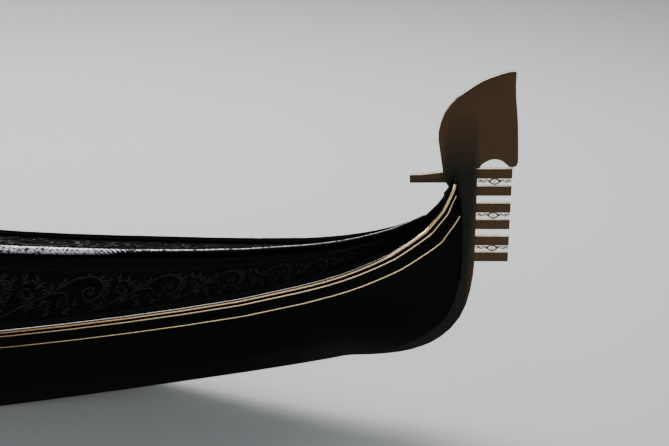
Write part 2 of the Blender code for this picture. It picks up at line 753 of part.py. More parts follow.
def deck_gable(x, ridge_z, base_z, lip, inset=0.0):
    """Top edge of an end board, from starboard to port, following the deck behind it."""
    edge = {side: side * (abs(deck_edge(x, side)) - inset) for side in (1, -1)}
    z_edge = sheer_z(x) + GAP + DECK_T + lip
    pts = [(edge[-1], base_z), (edge[-1], z_edge)]
    for side, shares in ((-1, (0.35, 0.7, 1.0)), (1, (0.7, 0.35))):
        for v in shares:
            pts.append((edge[side] * (1 - v), (1 - v) * z_edge + v * (ridge_z + lip) + DECK_CROWN))
    return pts + [(edge[1], z_edge), (edge[1], base_z)]


# Bow bulkhead, which also closes the fore deck's end, with a doorway to the locker behind it
fore_face = FOREDECK_AFT - GAP - BULKHEAD_T
fore_ridge_z = look(fore_ridge, FOREDECK_AFT, 1)
z_side = sheer_z(fore_face) - 0.008
fore_outline = hull_outline((FOREDECK_AFT - GAP, fore_face), z_side)
fore_outline += deck_gable(FOREDECK_AFT, fore_ridge_z, z_side, END_BOARD_LIP)
fore_bulkhead = prism("fore_bulkhead", fore_outline, fore_face, fore_face + BULKHEAD_T, BLACK, "yz")
door_y = 0.5 * (chine_y(FOREDECK_AFT, 1) + chine_y(FOREDECK_AFT, -1))
sill = keel_z(FOREDECK_AFT) + BOTTOM_T + FORE_DOOR_SILL
cut(fore_bulkhead, "cut_fore_door", (fore_face - CUT_PAST, door_y - FORE_DOOR_W / 2, sill),
    (fore_face + BULKHEAD_T + CUT_PAST, door_y + FORE_DOOR_W / 2, sill + FORE_DOOR_H))

# Locker door: a board that laps over the doorway and swings aft on its port edge
door_low = (fore_face - GAP - DOOR_T, door_y - FORE_DOOR_W / 2 - DOOR_LAP, sill - DOOR_LAP)
door_high = (fore_face - GAP, door_y + FORE_DOOR_W / 2 + DOOR_LAP, sill + FORE_DOOR_H + DOOR_LAP)
block("bow_locker_door", door_low, door_high, WOOD, 0.002)

# Carved board that dresses the gable of the fore deck
carved_z = door_high[2] + 0.010
prism("foredeck_end_board", deck_gable(FOREDECK_AFT, fore_ridge_z, carved_z, -0.004, CARVED_BOARD_IN),
      fore_face - GAP - CARVED_BOARD_T, fore_face - GAP, WOOD, "yz")

# Rowing platform, flat across and evenly sloped, with a hatch in it
PLAT_Z_FORE = sheer_z(PLATFORM_FORE) + GAP + DECK_T
PLAT_SLOPE = (sheer_z(AFTDECK_FORE) - sheer_z(PLATFORM_FORE)) / (AFTDECK_FORE - PLATFORM_FORE)


def platform_z(x):
    return PLAT_Z_FORE + (x - PLATFORM_FORE) * PLAT_SLOPE


rings = []
for x in stations(AFTDECK_FORE, PLATFORM_FORE):
    z, port, star = platform_z(x), deck_edge(x, 1), deck_edge(x, -1)
    rings.append([(x, star, z), (x, port, z), (x, port, z - PLATFORM_T), (x, star, z - PLATFORM_T)])
platform = loft("rowing_platform", rings, WOOD)
hatch_x = PLATFORM_FORE - HATCH_FROM_FORE
cut(platform, "cut_hatch",
    (hatch_x - HATCH_L / 2, HATCH_Y - HATCH_W / 2, platform_z(hatch_x) - PLATFORM_T - CUT_PAST),
    (hatch_x + HATCH_L / 2, HATCH_Y + HATCH_W / 2, platform_z(hatch_x) + CUT_PAST))


def on_platform(name, x0, x1, y0, y1, h0, h1, look_of):
    """Block that stands on the platform, h0 high at its after end and h1 at its fore end."""
    rings = []
    for x, h in ((x0, h0), (x1, h1)):
        z = platform_z(x) + GAP
        rings.append([(x, y0, z), (x, y1, z), (x, y1, z + h), (x, y0, z + h)])
    return loft(name, rings, look_of)


on_platform("stern_hatch", hatch_x - HATCH_L / 2 - HATCH_LAP, hatch_x + HATCH_L / 2 + HATCH_LAP,
            HATCH_Y - HATCH_W / 2 - HATCH_LAP, HATCH_Y + HATCH_W / 2 + HATCH_LAP, HATCH_T, HATCH_T, WOOD)
wedge_x = PLATFORM_FORE - WEDGE_FROM_FORE
on_platform("foot_wedge", wedge_x - WEDGE_L, wedge_x, WEDGE_Y - WEDGE_W / 2, WEDGE_Y + WEDGE_W / 2,
            WEDGE_H, 0.012, WOOD)

# Gable board at the fore end of the after deck, standing on the platform
prism("aftdeck_end_board",
      deck_gable(AFTDECK_FORE, look(aft_ridge, AFTDECK_FORE, 1), platform_z(AFTDECK_FORE) + GAP, END_BOARD_LIP),
      AFTDECK_FORE + GAP, AFTDECK_FORE + GAP + END_BOARD_T, WOOD, "yz")

# Bulkhead behind the passengers' seat, under the fore edge of the platform
aft_high = PLATFORM_FORE - 0.004
aft_low = aft_high - BULKHEAD_T
prism("aft_bulkhead", hull_outline((aft_low, aft_high), platform_z(PLATFORM_FORE) - PLATFORM_T - GAP),
      aft_low, aft_high, BLACK, "yz")


# Floorboards, and the ribs that carry them and run up the sides
def floor_z(x):
    return keel_z(x) + BOTTOM_T + FLOOR_LIFT + GAP


floor_aft, floor_fore = PLATFORM_FORE + FLOOR_AFT_BACK, fore_face - FLOOR_FORE_BACK
rings = []
for x in stations(floor_aft, floor_fore):
    z = floor_z(x)
    port, star = [inner_y_at(x, s, z) - s * (RIB_D + FLOOR_EDGE) for s in (1, -1)]
    rings.append([(x, star, z), (x, port, z), (x, port, z + FLOOR_T), (x, star, z + FLOOR_T)])
loft("floorboards", rings, FLOOR)

for count in range(1, RIB_COUNT + 1):
    first, last = floor_aft + RIB_FROM_FLOOR_END, floor_fore - RIB_FROM_FLOOR_END
    rib_x = first + (last - first) * (count - 1) / (RIB_COUNT - 1)
    ends = (rib_x - RIB_W / 2, rib_x + RIB_W / 2)
    climb = abs(keel_z(ends[0]) - keel_z(ends[1]))
    rib_top = min(sheer_z(e) for e in ends) - RIB_TOP
    outer = hull_outline(ends, rib_top)
    inner = hull_outline(ends, rib_top, GAP + RIB_D, FLOOR_LIFT - climb - GAP)
    prism("rib_%d" % count, outer + inner[::-1], ends[0], ends[1], BLACK, "yz")

# Passengers' seat
seat_aft = PLATFORM_FORE + SEAT_FROM_BULKHEAD
seat_fore = seat_aft + SEAT_D
base_aft = seat_aft + SEAT_BACK_T + GAP
seat_top = floor_z(seat_aft) + FLOOR_T + SEAT_H
rings = []
for x in stations(base_aft, seat_fore):
    z = floor_z(x) + FLOOR_T + GAP
    rings.append([(x, -SEAT_STAR, seat_top), (x, SEAT_PORT, seat_top), (x, SEAT_PORT, seat_top - SEAT_RAIL_H),
                  (x, SEAT_PORT - SEAT_FOOT_IN_PORT, z), (x, -SEAT_STAR + SEAT_FOOT_IN_STAR, z),
                  (x, -SEAT_STAR, seat_top - SEAT_RAIL_H)])
loft("seat_base", rings, WOOD)
block("seat_cushion", (base_aft + PAD_T + CUSHION_GAP, -SEAT_STAR + CUSHION_IN, seat_top + GAP),
      (seat_fore - CUSHION_GAP, SEAT_PORT - CUSHION_IN, seat_top + GAP + CUSHION_H), RED, 0.02)


def arched(port, star, low, high, rise):
    """Outline of a board with an arched top, in the athwartship plane."""
    mid, span = (port - star) / 2, (port + star) / 2
    arch = [(mid + span * math.cos(math.pi * k / 12), high + rise * math.sin(math.pi * k / 12) ** 1.4)
            for k in range(1, 12)]
    return [(-star, low), (port, low), (port, high)] + arch + [(-star, high)]


back_top = seat_top + SEAT_BACK_H - SEAT_H
prism("seat_back", arched(SEAT_PORT, SEAT_STAR, seat_top - SEAT_RAIL_H, back_top, SEAT_BACK_RISE),
      seat_aft, seat_aft + SEAT_BACK_T, WOOD, "yz")
prism("seat_back_pad", arched(SEAT_PORT - BACK_PAD_IN, SEAT_STAR - BACK_PAD_IN, seat_top + GAP,
                              back_top - 0.05, SEAT_BACK_RISE - 0.02),
      base_aft, base_aft + PAD_T, RED, "yz")

# Arms of the seat: shaped boards that stand against its two sides
arm_low = seat_top - SEAT_RAIL_H
arm_outline = [(0.0, 0.0), (0.92, 0.0), (0.96, 0.28), (1.0, 0.50), (1.0, 0.64), (0.96, 0.70),
               (0.86, 0.66), (0.62, 0.68), (0.36, 0.80), (0.14, 0.96), (0.0, 1.0)]
arm_z = SEAT_RAIL_H + ARM_H
for label, side, reach in (("port", 1, SEAT_PORT), ("starboard", -1, SEAT_STAR)):
    ys = sorted((side * (reach + GAP), side * (reach + GAP + ARM_T)))
    prism("seat_arm_" + label, [(base_aft + a * ARM_L, arm_low + b * arm_z) for a, b in arm_outline],
          ys[0], ys[1], WOOD)


# Side chairs that face inwards, each one framed up from posts, rails and a slab seat
def build_chair(label, side, share, back_y):
    x0 = floor_aft + share * (floor_fore - floor_aft) - CHAIR_W / 2
    x1 = x0 + CHAIR_W
    z0 = max(floor_z(x0), floor_z(x1)) + FLOOR_T + GAP
    z1, p, front = z0 + CHAIR_SEAT_H, CHAIR_POST, back_y - CHAIR_D
    top_z = z1 + CHAIR_BACK_H

    def bar(name, xa, xb, ya, yb, za, zb):
        ys = sorted((side * ya, side * yb))
        return block(name, (xa, ys[0], za), (xb, ys[1], zb), WOOD)

    chair = bar("chair_" + label, x0, x1, front, back_y, z1 - CHAIR_SLAB, z1)
    parts = []
    for tag, xa in (("a", x0), ("b", x1 - p)):
        parts.append(bar("leg_" + tag + label, xa, xa + p, front, front + p, z0, z1 - 0.01))
        parts.append(bar("arm_post_" + tag + label, xa + 0.004, xa + p - 0.004, front + 0.004,
                         front + p - 0.004, z1 - 0.015, z1 + CHAIR_ARM_H - 0.008))
        lean = CHAIR_LEAN
        post = [(back_y - p, z0), (back_y, z0), (back_y, z1), (back_y + lean, top_z), (back_y + lean - p, top_z),
                (back_y - p, z1)]
        parts.append(prism("back_post_" + tag + label, [(side * y, z) for y, z in post],
                           xa + 0.001, xa + p - 0.001, WOOD, "yz"))
        reach = back_y - p / 2 + lean * CHAIR_ARM_H / CHAIR_BACK_H
        parts.append(bar("arm_" + tag + label, xa - 0.004, xa + p + 0.004, front - 0.008, reach,
                         z1 + CHAIR_ARM_H - CHAIR_ARM_T, z1 + CHAIR_ARM_H))
    # Arched top rail and a shaped splat, both leaning with the back posts
    for tag, xa, xb, za, zb, rise, t in (
            ("rail", x0 + 0.002, x1 - 0.002, CHAIR_BACK_H - CHAIR_RAIL_H, CHAIR_BACK_H, CHAIR_RAIL_RISE, 0.024),
            ("low_rail", x0 + 0.003, x1 - 0.003, 0.085, 0.125, 0.0, 0.020),
            ("splat", (x0 + x1) / 2 - 0.055, (x0 + x1) / 2 + 0.055, 0.10, CHAIR_BACK_H - 0.03, 0.0,
             CHAIR_SPLAT_T)):
        mid, span = (xa + xb) / 2, (xb - xa) / 2
        outline = [(xa, za), (xb, za), (xb, zb)]
        if rise:
            outline += [(mid + span * math.cos(math.pi * k / 8), zb + rise * math.sin(math.pi * k / 8))
                        for k in range(1, 8)]
        outline.append((xa, zb))
        tool = prism(tag + label, outline, 0.0, t, WOOD)
        slope = CHAIR_LEAN / CHAIR_BACK_H
        for v in tool.data.vertices:
            depth, up = v.co.y, v.co.z
            v.co.y = side * (back_y - p / 2 - t / 2 + depth + slope * up)
            v.co.z = z1 + up
        if side < 0:
            tool.data.flip_normals()
        parts.append(tool)
    for tool in parts:
        boolean(chair, tool, "UNION")
    ys = sorted((side * (front + p + 0.006), side * (back_y - p - 0.006)))
    block("chair_cushion_" + label, (x0 + p + 0.006, ys[0], z1 + GAP),
          (x1 - p - 0.006, ys[1], z1 + GAP + CHAIR_CUSHION_H), RED, 0.012)


for chair in CHAIRS:
    build_chair(*chair)

# Rowlock socket: a block on the platform with a slot right through it
socket_x = PLATFORM_FORE - SOCKET_FROM_FORE
socket_y = deck_edge(socket_x - SOCKET_L / 2, -1) + SOCKET_OFF_RAIL + SOCKET_W / 2
socket = on_platform("rowlock_socket", socket_x - SOCKET_L / 2, socket_x + SOCKET_L / 2,
                     socket_y - SOCKET_W / 2, socket_y + SOCKET_W / 2, SOCKET_H,
                     SOCKET_H + PLAT_SLOPE * -SOCKET_L, WOOD)
socket_top = platform_z(socket_x - SOCKET_L / 2) + GAP + SOCKET_H
cut(socket, "cut_slot", (socket_x - SLOT_L / 2, socket_y - SLOT_W / 2, socket_top - SOCKET_H - CUT_PAST),
    (socket_x + SLOT_L / 2, socket_y + SLOT_W / 2, socket_top + CUT_PAST))

# Rowlock post: a carved crook whose leg drops into the slot
post_z = platform_z(socket_x - SLOT_L / 2) + GAP
leg = SLOT_L / 2 - SLOT_CLEAR
outline = [(-leg, 0.0), (leg, 0.0), (leg, POST_LEG)]
outline += [(a, POST_LEG + b) for a, b in POST_OUTLINE] + [(-leg, POST_LEG)]
post_half = SLOT_W / 2 - SLOT_CLEAR
post = prism("rowlock_post", [(socket_x + a, post_z + b) for a, b in outline],
             socket_y - post_half, socket_y + post_half, WOOD)
soften = post.modifiers.new("rounded", "BEVEL")
soften.width = POST_BEVEL
soften.segments = 2
soften.limit_method = "ANGLE"
soften.angle_limit = math.radians(60)

# Sea horses
horse_x = seat_fore + HORSE_AHEAD_OF_SEAT
horse_z = max(sheer_z(horse_x + s * HORSE_H / 2) for s in (-1, 1)) + RAIL_H + 3 * GAP
for label, side in (("port", 1), ("starboard", -1)):
    y = sheer_y(horse_x, side) - side * HORSE_IN
    prism("sea_horse_" + label, [(horse_x + a * HORSE_H, horse_z + b * HORSE_H) for a, b in HORSE],
          y - HORSE_T / 2, y + HORSE_T / 2, BRASS)
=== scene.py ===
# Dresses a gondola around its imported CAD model: black lacquer, low carving, gilt and copper trim,
# oiled walnut and red upholstery. Metres, +X to the bow, +Y to port, +Z up, as in the CAD model.

import math

import bpy
import numpy as np
from mathutils import Matrix, Vector
from mathutils.bvhtree import BVHTree


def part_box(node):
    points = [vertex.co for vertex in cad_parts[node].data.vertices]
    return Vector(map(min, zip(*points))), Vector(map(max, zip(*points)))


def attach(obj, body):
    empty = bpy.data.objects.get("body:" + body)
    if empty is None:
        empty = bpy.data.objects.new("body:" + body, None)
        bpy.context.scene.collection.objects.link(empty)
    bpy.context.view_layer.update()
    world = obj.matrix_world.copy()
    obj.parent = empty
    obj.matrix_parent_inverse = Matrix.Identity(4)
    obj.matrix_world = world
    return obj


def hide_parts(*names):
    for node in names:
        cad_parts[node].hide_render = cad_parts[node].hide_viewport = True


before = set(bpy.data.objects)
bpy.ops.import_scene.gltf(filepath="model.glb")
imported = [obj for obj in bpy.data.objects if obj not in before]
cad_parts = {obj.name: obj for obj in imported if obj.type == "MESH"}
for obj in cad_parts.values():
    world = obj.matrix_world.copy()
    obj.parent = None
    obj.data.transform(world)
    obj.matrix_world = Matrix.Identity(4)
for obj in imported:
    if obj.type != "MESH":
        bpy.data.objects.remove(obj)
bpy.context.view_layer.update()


# The view: from a quay off the starboard bow, a little above the boat, through a normal lens.
# Its place comes from the known sizes of the prow iron and the run of the two rails.
bpy.ops.object.camera_add(location=(4.876, -3.591, 3.112),
                          rotation=(math.radians(61.0), 0.0, math.radians(5.0)))
camera = bpy.context.object
camera.data.sensor_width = 36.0
camera.data.lens = 53.8
camera.data.clip_end = 200.0
bpy.context.scene.camera = camera


# The studio floor, a plain pale sheet that lies where the water would be, so that the boat
# shows what it shows afloat. It isn't part of the boat.
class Wire:
    """One value in a material. Sums and products of wires add Math nodes."""

    def __init__(self, finish, socket):
        self.finish, self.socket = finish, socket

    def math(self, operation, other):
        return self.finish.node("ShaderNodeMath", {"operation": operation}, {0: self, 1: other})

    def __add__(self, other):
        return self.math("ADD", other)

    def __mul__(self, other):
        return self.math("MULTIPLY", other)

    __radd__, __rmul__ = __add__, __mul__


class Finish:
    """One material: a Principled shader, and the nodes that vary it over the surface."""

    def __init__(self, name, colour, roughness, metallic=0.0, **uniform):
        self.material = bpy.data.materials.new(name)
        self.material.use_nodes = True
        self.tree = self.material.node_tree
        self.shader = self.tree.nodes["Principled BSDF"]
        self.material.diffuse_color = (*colour, 1.0)
        uniform.update(Base_Color=(*colour, 1.0), Roughness=roughness, Metallic=metallic)
        for socket, value in uniform.items():
            self.shader.inputs[socket.replace("_", " ")].default_value = value

    def node(self, kind, settings, values, out=0):
        """Adds a node of one type, with its settings and the values or wires of its sockets."""
        made = self.tree.nodes.new(kind)
        for key, value in settings.items():
            setattr(made, key, value)
        for key, value in values.items():
            if isinstance(value, Wire):
                self.tree.links.new(value.socket, made.inputs[key])
            else:
                made.inputs[key].default_value = value
        return Wire(self, made.outputs[out])

    def place(self, stretch=(1.0, 1.0, 1.0)):
        """Where a point lies on the boat, drawn out along the axes."""
        at = self.node("ShaderNodeTexCoord", {}, {}, "Object")
        return self.node("ShaderNodeMapping", {}, {"Vector": at, "Scale": stretch})

    def along(self, axis):
        """How far a point lies along one axis, in metres."""
        return self.node("ShaderNodeSeparateXYZ", {}, {"Vector": self.place()}, axis)

    def noise(self, scale, stretch=(1.0, 1.0, 1.0), detail=4.0, distortion=0.0):
        """Blotches or grain, by their number to the metre."""
        return self.node("ShaderNodeTexNoise", {}, {"Vector": self.place(stretch), "Scale": scale,
                                                    "Detail": detail, "Distortion": distortion})

    def between(self, low, high, value):
        """A share that runs from 0 at low to 1 at high."""
        return self.node("ShaderNodeMapRange", {}, {"Value": value, "From Min": low, "From Max": high})

    def blend(self, share, first, second):
        """Mixes two colours, each of them a wire or three numbers."""
        first, second = [c if isinstance(c, Wire) else (*c, 1.0) for c in (first, second)]
        return self.node("ShaderNodeMix", {"data_type": "RGBA"}, {0: share, 6: first, 7: second}, 2)

    def set(self, socket, wire):
        """Lets a wire drive one of the shader's own sockets."""
        self.tree.links.new(wire.socket, self.shader.inputs[socket])

    def bump(self, height, distance):
        """Raises the surface by a wire, up to a distance in metres."""
        self.set("Normal", self.node("ShaderNodeBump", {}, {"Height": height, "Distance": distance,
                                                            "Strength": 1.0}))


def wear(piece, finish):
    """Gives a piece one finish all over."""
    piece.data.materials.clear()
    piece.data.materials.append(finish.material)


def begin(add, name, **sizes):
    """Adds one of Blender's primitives as a new piece, with nothing else selected."""
    bpy.ops.object.select_all(action="DESELECT")
    add(**sizes)
    bpy.context.object.name = name
    return bpy.context.object


def face_outwards():
    """Turns all faces of the piece that is being edited outwards, and leaves edit mode."""
    bpy.ops.mesh.select_all(action="SELECT")
    bpy.ops.mesh.normals_make_consistent(inside=False)
    bpy.ops.object.mode_set(mode="OBJECT")


def tree_of(*nodes):
    """Search tree over the faces of some CAD nodes, to lay pieces on their surface."""
    points, faces = [], []
    for name in nodes:
        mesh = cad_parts[name].data
        first = len(points)
        points += [vertex.co.copy() for vertex in mesh.vertices]
        faces += [[first + i for i in polygon.vertices] for polygon in mesh.polygons]
    return BVHTree.FromPolygons(points, faces)


WATERLINE = 0.190
FLOOR_R = 45.0
SHORE_FORE, SHORE_LONG, SHORE_STEPS = 4.6, 9.2, 120
SHORE_UNDER = 0.008
ABEAM = 1.5

# the sheet has an opening that follows the planking at the waterline and tucks in under it
planking = tree_of("hull_side_port", "hull_side_starboard", "hull_bottom")
shore = []
for sign in (1.0, -1.0):
    starts = [Vector((SHORE_FORE - SHORE_LONG * k / SHORE_STEPS, sign * ABEAM, WATERLINE))
              for k in range(SHORE_STEPS + 1)]
    hits = [planking.ray_cast(start, Vector((0.0, -sign, 0.0)))[0] for start in starts]
    edge = [hit - Vector((0.0, sign * SHORE_UNDER, 0.0)) for hit in hits if hit is not None]
    shore += edge if sign > 0.0 else edge[::-1]
floor = begin(bpy.ops.mesh.primitive_circle_add, "studio_floor", vertices=len(shore), radius=FLOOR_R,
              location=(0.0, 0.0, WATERLINE))
bpy.ops.object.mode_set(mode="EDIT")
bpy.ops.mesh.select_all(action="SELECT")
bpy.ops.mesh.extrude_region_move()
bpy.ops.object.mode_set(mode="OBJECT")
for vertex in floor.data.vertices:
    if vertex.select:
        turn = math.atan2(vertex.co.y, vertex.co.x) / math.tau * len(shore)
        vertex.co = shore[round(turn) % len(shore)] - Vector((0.0, 0.0, WATERLINE))
bpy.ops.object.transform_apply(location=True, rotation=False, scale=False)
bpy.ops.object.mode_set(mode="EDIT")
face_outwards()
paper = Finish("pale_floor", (0.50, 0.51, 0.51), 0.85)
paper.set("Base Color", paper.blend(paper.noise(0.6), (0.48, 0.49, 0.49), (0.52, 0.53, 0.53)))
wear(floor, paper)


# The studio light is soft: one long box above and beyond the boat, a weak one on the viewer's
# side, one off the bow, and a dim, even sky.
for name, place, turn, wide, deep, watts in (
        ("sky_box", (0.5, 3.4, 6.0), (-28.0, 0.0), 13.0, 3.0, 1150.0),
        ("near_box", (2.5, -8.0, 5.0), (58.0, 0.0), 9.0, 3.0, 260.0),
        ("bow_box", (9.5, 2.5, 5.0), (-20.0, 52.0), 4.0, 2.5, 130.0)):
    bpy.ops.object.light_add(type="AREA", location=place,
                             rotation=(math.radians(turn[0]), math.radians(turn[1]), 0.0))
    lamp = bpy.context.object
    lamp.name = name
    lamp.data.shape = "RECTANGLE"
    lamp.data.size, lamp.data.size_y, lamp.data.energy = wide, deep, watts
sky = bpy.data.worlds.new("studio_sky")
sky.use_nodes = True
sky.node_tree.nodes["Background"].inputs["Color"].default_value = (0.80, 0.86, 0.90, 1.0)
sky.node_tree.nodes["Background"].inputs["Strength"].default_value = 0.35
bpy.context.scene.world = sky


# The hull: thin planks on ribs, flat below, with a solid stem and sternpost, all under many coats
# of black lacquer. The bottom has a dull dark green antifouling paint.
SIDES = (("port", 1.0), ("starboard", -1.0))

lacquer = Finish("black_lacquer", (0.0022, 0.0022, 0.0026), 0.22, IOR=1.12)
lacquer.set("Roughness", 0.12 + 0.16 * lacquer.noise(5.0, (0.3, 1.0, 1.0), 6.0))
lacquer.bump(lacquer.noise(26.0, (0.12, 1.0, 1.0), 3.0) + 0.15 * lacquer.noise(420.0, detail=1.0), 0.0006)

satin = Finish("satin_lacquer", (0.0022, 0.0022, 0.0024), 0.34, IOR=1.01)
satin.set("Roughness", 0.26 + 0.14 * satin.noise(9.0, (0.3, 1.0, 1.0), 6.0))
satin.bump(satin.noise(240.0, detail=2.0), 0.0003)

bottom_paint = Finish("bottom_paint", (0.004, 0.006, 0.005), 0.70)
bottom_paint.set("Base Color", bottom_paint.blend(bottom_paint.noise(7.0, detail=8.0),
                                                  (0.006, 0.009, 0.008), (0.014, 0.020, 0.016)))
bottom_paint.bump(bottom_paint.noise(60.0), 0.001)


def work(piece, kind, name, **settings):
    """Adds one modifier to a piece, as one step of the work on it."""
    step = piece.modifiers.new(name, kind)
    for key, value in settings.items():
        setattr(step, key, value)


def soften(node, width, finish, angle=35.0):
    """Rounds the edges of a CAD piece with modifiers and gives it a finish."""
    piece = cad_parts[node]
    work(piece, "WELD", "joined", merge_threshold=0.00005)
    work(piece, "BEVEL", "rounded", width=width, segments=2, limit_method="ANGLE",
         angle_limit=math.radians(angle), harden_normals=False)
    wear(piece, finish)


for node in ("hull_side_port", "hull_side_starboard", "stem_block", "stern_block"):
    wear(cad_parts[node], lacquer)
wear(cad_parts["hull_bottom"], bottom_paint)
for number in range(1, 6):
    soften("rib_%d" % number, 0.004, lacquer)


# The gunwale rails: a lacquered rail along each side. A thin white-metal edge is let into its outer
# corner, and below a groove a broader copper strip runs along its face. Both narrow towards the horn.
EDGE = ((0.0030, -0.0020), (0.0014, -0.0012), (0.0016, 0.0006), (0.0028, 0.0016), (0.0044, 0.0014),
        (0.0054, 0.0002), (0.0054, -0.0012), (0.0030, -0.0020))
STRIP = ((0.0082, -0.0010), (0.0090, 0.0018), (0.0110, 0.0032), (0.0138, 0.0034), (0.0160, 0.0016),
         (0.0168, -0.0010), (0.0082, -0.0010))
NARROWS = ((4.78, 1.0), (5.00, 0.66))
SPREADS = ((4.74, 1.0), (4.92, 1.95))
HORN_TIP = ((5.0348, 1.3200, 0.004), (5.0376, 1.3360, 0.010))
SEAM_GAP = 0.00002

white_metal = Finish("white_metal", (0.21, 0.195, 0.185), 0.24, 1.0)
white_metal.set("Roughness", 0.16 + 0.20 * white_metal.noise(30.0, (0.3, 1.0, 1.0), 6.0))
copper = Finish("copper_strip", (0.58, 0.42, 0.28), 0.22, 1.0)
# painted light: the copper runs from dark aft to bright towards the bow, painted shade and highlight for how the
# light falls along the rail
copper.set("Base Color", copper.blend(copper.between(3.1, 4.3, copper.along("X")),
                                      (0.24, 0.11, 0.05), (0.94, 0.62, 0.31)))
copper.set("Roughness", 0.08 + 0.20 * copper.noise(24.0, (0.3, 1.0, 1.0), 6.0))
copper.bump(copper.noise(150.0, (0.2, 1.0, 1.0)), 0.0003)


def graded(x, table):
    """Reads a value at x from a table of (x, value)."""
    return float(np.interp(x, *zip(*table)))


def slices(node):
    """The points of a CAD node, in slices across the boat from stern to bow."""
    found = {}
    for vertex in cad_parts[node].data.vertices:
        found.setdefault(round(vertex.co.x, 3), []).append(vertex.co)
    return sorted(found.items())


def rail_sections(side):
    """Sections of a rail, stern to bow: x, top, underside, outer and inner edge, angle of climb."""
    rows = np.array([(x, max(c.z for c in cut), min(c.z for c in cut),
                      max(abs(c.y) for c in cut), min(abs(c.y) for c in cut))
                     for x, cut in slices("gunwale_" + side)])
    # the rail's tip is drawn out into a short horn that leans on the neck of the iron
    foot, root = rows[-1, 1] - rows[-1, 2], rows[-1]
    horn = [(x, top, top - foot, root[3] - taper, root[4] + taper / 2.0) for x, top, taper in HORN_TIP]
    rows = np.array([row for row in rows if row[0] < root[0] - 0.0001] + [tuple(root)] + horn)
    climb = np.arctan(np.gradient(rows[:, 1], rows[:, 0]))
    for _ in range(3):
        climb[1:-1] = 0.25 * climb[:-2] + 0.5 * climb[1:-1] + 0.25 * climb[2:]
    return np.column_stack([rows, climb])


def close_seams():
    """Merges the doubled points of the active piece, fills its open ends and faces it outwards."""
    bpy.ops.object.mode_set(mode="EDIT")
    bpy.ops.mesh.select_all(action="SELECT")
    bpy.ops.mesh.remove_doubles(threshold=SEAM_GAP)
    bpy.ops.mesh.select_all(action="DESELECT")
    bpy.ops.mesh.select_mode(type="EDGE")
    bpy.ops.mesh.select_non_manifold(extend=False)
    bpy.ops.mesh.edge_face_add()
    face_outwards()


def bent_grid(name, across, along, place, finish):
    """A grid whose points are set by place(share across, share along), with its seams closed."""
    sheet = begin(bpy.ops.mesh.primitive_grid_add, name, x_subdivisions=across, y_subdivisions=along,
                  size=2.0)
    for vertex in sheet.data.vertices:
        vertex.co = place((vertex.co.x + 1.0) / 2.0, (vertex.co.y + 1.0) / 2.0)
    close_seams()
    bpy.ops.object.shade_smooth_by_angle(angle=math.radians(40.0))
    wear(sheet, finish)
    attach(sheet, "hull")
    return sheet


RAILS = {side: rail_sections(side) for side, _ in SIDES}
for side, sign in SIDES:
    rows = RAILS[side]
    soften("gunwale_" + side, 0.002, satin, 50.0)

    for label, profile, finish in (("edge", EDGE, white_metal), ("strip", STRIP, copper)):
        def bound(u, v, rows=rows, sign=sign, profile=profile):
            """A point of the strip's profile at one section of the rail."""
            x, top, _, outer, _, climb = rows[int(round(v * (len(rows) - 1)))]
            down, out = profile[int(round(u * (len(profile) - 1)))]
            if profile is STRIP:
                # towards the bow the copper spreads up over the white metal
                down = STRIP[-2][0] - (STRIP[-2][0] - down) * graded(x, SPREADS)
            down *= graded(x, NARROWS)
            return x + down * math.sin(climb), sign * (outer + out), top - down * math.cos(climb)

        strip = bent_grid("rail_%s_%s" % (label, side), len(profile) - 1, len(rows) - 1, bound, finish)


# Two gilt beads run along the planking under each rail. They are thin half-round battens, nailed on
# and gilded with leaf, and they run out over the stem to the neck of the iron.
BEADS = (("upper", ((4.30, 0.0378), (4.80, 0.0400), (4.95, 0.0325), (5.02, 0.0265)), 0.0040, (0.012, 0.026)),
         ("lower", ((4.30, 0.1050), (4.80, 0.0990), (4.93, 0.0930), (5.00, 0.0780)), 0.0033, (0.003, 0.006)))
BEAD_LIFT, BEAD_TIP, BEAD_SWELLS = 0.3, 0.35, 4.0
BEAD_END, BEAD_END_POINTS = 9, 33
BEAD_CLEAR = 0.012
CLIMBS_FROM = 3.0

gilt = Finish("gold_leaf", (0.62, 0.45, 0.26), 0.26, 1.0)
# painted light: the gilt runs from dark aft to bright towards the bow, painted shade and highlight for how the light
# falls along the boat, with random blotches of tone over it
gilt_painted_light = gilt.between(3.2, 4.4, gilt.along("X"))
gilt.set("Base Color", gilt.blend(gilt.noise(14.0, detail=8.0),
                                  gilt.blend(gilt_painted_light, (0.38, 0.24, 0.13), (0.98, 0.77, 0.46)),
                                  gilt.blend(gilt_painted_light, (0.20, 0.11, 0.05), (0.88, 0.60, 0.31))))
gilt.set("Roughness", 0.12 + 0.22 * gilt.noise(60.0, detail=6.0))
gilt.bump(gilt.noise(220.0), 0.0004)


def rods(name, lines, finish, body="hull", sides=2):
    """Round bars along lists of (x, y, z, radius), as one curve that is made into a mesh."""
    bar = begin(bpy.ops.curve.primitive_nurbs_path_add, name)
    bar.data.splines.clear()
    for line in lines:
        spline = bar.data.splines.new("POLY")
        spline.points.add(len(line) - 1)
        for point, (x, y, z, radius) in zip(spline.points, line):
            point.co, point.radius = (x, y, z, 1.0), radius
    bar.data.twist_mode = "MINIMUM"
    bar.data.bevel_depth = 1.0
    bar.data.bevel_resolution = sides
    bar.data.use_fill_caps = True
    bpy.ops.object.convert(target="MESH")
    bpy.ops.object.shade_smooth()
    if finish:
        wear(bar, finish)
        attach(bar, body)
    return bar


# a lacquered block fills the stem head between the two rails and the neck of the iron
HEAD_OUTLINE = ((4.985, 1.150), (5.080, 1.160), (5.074, 1.222), (5.065, 1.262), (5.057, 1.300),
                (5.050, 1.330), (5.044, 1.343), (5.034, 1.338), (5.018, 1.290), (5.004, 1.235))
HEAD_HALF, HEAD_HALF_TOP = 0.036, 0.020
HEAD_NARROWS_AT, HEAD_NARROWS_OVER = 1.16, 0.17


def take_up(*pieces):
    """Selects these pieces alone, the first of them active."""
    bpy.ops.object.select_all(action="DESELECT")
    for piece in pieces:
        piece.select_set(True)
    bpy.context.view_layer.objects.active = pieces[0]


